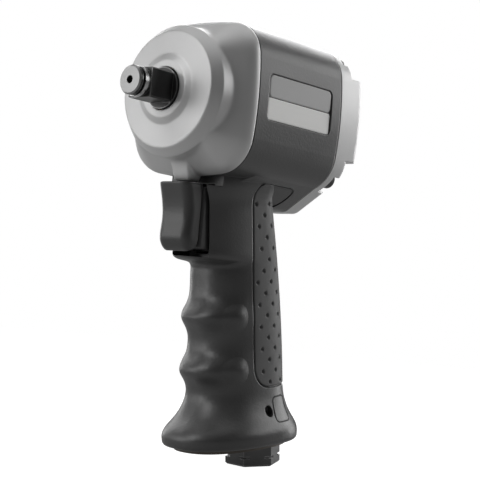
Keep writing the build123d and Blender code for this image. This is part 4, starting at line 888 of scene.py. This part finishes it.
path_up = handle_normal(path_along, path_turn)
way = np.roll(path[:-1], -1, axis=0) - np.roll(path[:-1], 1, axis=0)
way = np.concatenate([way, way[:1]])
way = way / np.linalg.norm(way, axis=1, keepdims=True)
path_side = np.cross(path_up, way)
bead_turn = np.linspace(0.0, np.pi, bead_points)
bead = (path[:, None] + bead_half_width * np.cos(bead_turn)[:, None] * path_side[:, None]
        + bead_height * np.sin(bead_turn)[:, None] * path_up[:, None])
# Near-black gasket finish on the bead: painted shade for the shadow along the outline.
make_piece("foot_outline_shade", [bead], finishes["gasket"])

# %% [markdown]
# ## Camera
#
# The camera was solved from the picture: the half-inch square gives the scale, and the drive
# axis, the two joint lines and the foot give the direction. It could be aimed at a target, but a
# target gives no lean, so its three directions are set as they were solved: it looks slightly up and
# leans about five degrees.

# %% Camera
sensor_width, focal_length = 36.0, 111.23
camera_place = (0.4433, 0.4381, -0.10243)
camera_right = (-0.6503, 0.7545, 0.0887)
camera_up = (0.1079, -0.0239, 0.9939)
camera_back = (0.752, 0.6559, -0.0659)

lens = bpy.data.cameras.new("camera")
lens.sensor_width = sensor_width
lens.lens = focal_length
camera = bpy.data.objects.new("camera", lens)
camera_turn = Matrix((camera_right, camera_up, camera_back)).transposed().to_4x4()
camera.matrix_world = Matrix.Translation(camera_place) @ camera_turn
bpy.context.scene.collection.objects.link(camera)
bpy.context.scene.camera = camera
print("camera", [round(value, 3) for value in camera.matrix_world.translation])

# %% [markdown]
# ## Floor and sky
#
# The tool was photographed on plain white. The floor is a wide white sheet at the tool's lowest
# point. A white floor in strong light would do, but it would also light the undersides, which stay
# dark here. So the floor and the sky are seen as white and throw back only part of that light. *Is
# Camera Ray* tells the two uses apart.

# %% Floor and sky
floor_reach, floor_tone = 6.0, 0.2
white_seen, floor_thrown, sky_thrown = 1.0, 0.16, 0.02
white = (1.0, 1.0, 1.0, 1.0)


def plain_sheet(name, reach, z):
    """Flat square sheet at one height."""
    mesh = bpy.data.meshes.new(name)
    corners = [(-reach, -reach, z), (reach, -reach, z), (reach, reach, z), (-reach, reach, z)]
    mesh.from_pydata(corners, [], [(0, 1, 2, 3)])
    sheet = bpy.data.objects.new(name, mesh)
    bpy.context.scene.collection.objects.link(sheet)
    return sheet


def seen_or_thrown(tree, thrown):
    """Strength of a white surface: full to the camera, less to everything that it lights."""
    ray = tree.nodes.new("ShaderNodeLightPath")
    return mix_value(tree, ray.outputs["Is Camera Ray"], thrown, white_seen)


floor = plain_sheet("floor", floor_reach, cad_box[0][2])
floor_paint = bpy.data.materials.new("floor")
floor_paint.use_nodes = True
floor_surface = floor_paint.node_tree.nodes["Principled BSDF"]
floor_surface.inputs["Base Color"].default_value = (floor_tone, floor_tone, floor_tone, 1.0)
floor_surface.inputs["Roughness"].default_value = 1.0
floor_surface.inputs["Specular IOR Level"].default_value = 0.0
floor_surface.inputs["Emission Color"].default_value = white
floor_strength = seen_or_thrown(floor_paint.node_tree, floor_thrown)
floor_paint.node_tree.links.new(floor_strength, floor_surface.inputs["Emission Strength"])
floor.data.materials.append(floor_paint)

sky = bpy.data.worlds.new("studio")
bpy.context.scene.world = sky
sky.use_nodes = True
background = sky.node_tree.nodes["Background"]
background.inputs["Color"].default_value = white
sky.node_tree.links.new(seen_or_thrown(sky.node_tree, sky_thrown), background.inputs["Strength"])
print("floor at", round(cad_box[0][2], 4))

# %% [markdown]
# ## Light
#
# The picture has soft, even light with long highlights, as from large diffusing boxes. A picture of
# a studio could light the scene, but separate boxes can be fitted one by one: each was rendered alone,
# and the powers were chosen so that together they come nearest to the tones of the casting and the
# mouldings. Left and right in their names are the picture's.

# %% Light
tool_middle = Vector((-0.04, 0.0, -0.06))


def soft_box(name, place, size, power):
    """Rectangular area light that faces the tool's middle."""
    light = bpy.data.lights.new(name, "AREA")
    light.shape = "RECTANGLE"
    light.size, light.size_y = size
    light.energy = power
    lamp = bpy.data.objects.new(name, light)
    lamp.location = place
    lamp.rotation_euler = (tool_middle - Vector(place)).to_track_quat("-Z", "Y").to_euler()
    bpy.context.scene.collection.objects.link(lamp)


soft_box("overhead", place=(-0.1, 0.0, 0.76), size=(1.0, 0.9), power=2.7)
soft_box("left_high", place=(0.685, -0.196, 0.436), size=(0.5, 0.5), power=2.6)
soft_box("left_back", place=(-0.2, -0.85, 0.25), size=(0.3, 0.8), power=2.4)
soft_box("left_strip", place=(0.275, -0.838, 0.03), size=(0.25, 1.0), power=0.6)
soft_box("right_strip", place=(-0.913, 0.198, 0.03), size=(0.25, 1.0), power=3.6)
soft_box("right_high", place=(-0.656, 0.542, 0.31), size=(0.5, 0.4), power=1.7)
soft_box("back_high", place=(-0.72, -0.4, 0.4), size=(0.7, 0.5), power=6.4)
soft_box("disc_fill", place=(0.637, -0.59, 0.003), size=(0.5, 0.5), power=2.0)
bpy.context.scene.view_settings.view_transform = "Standard"
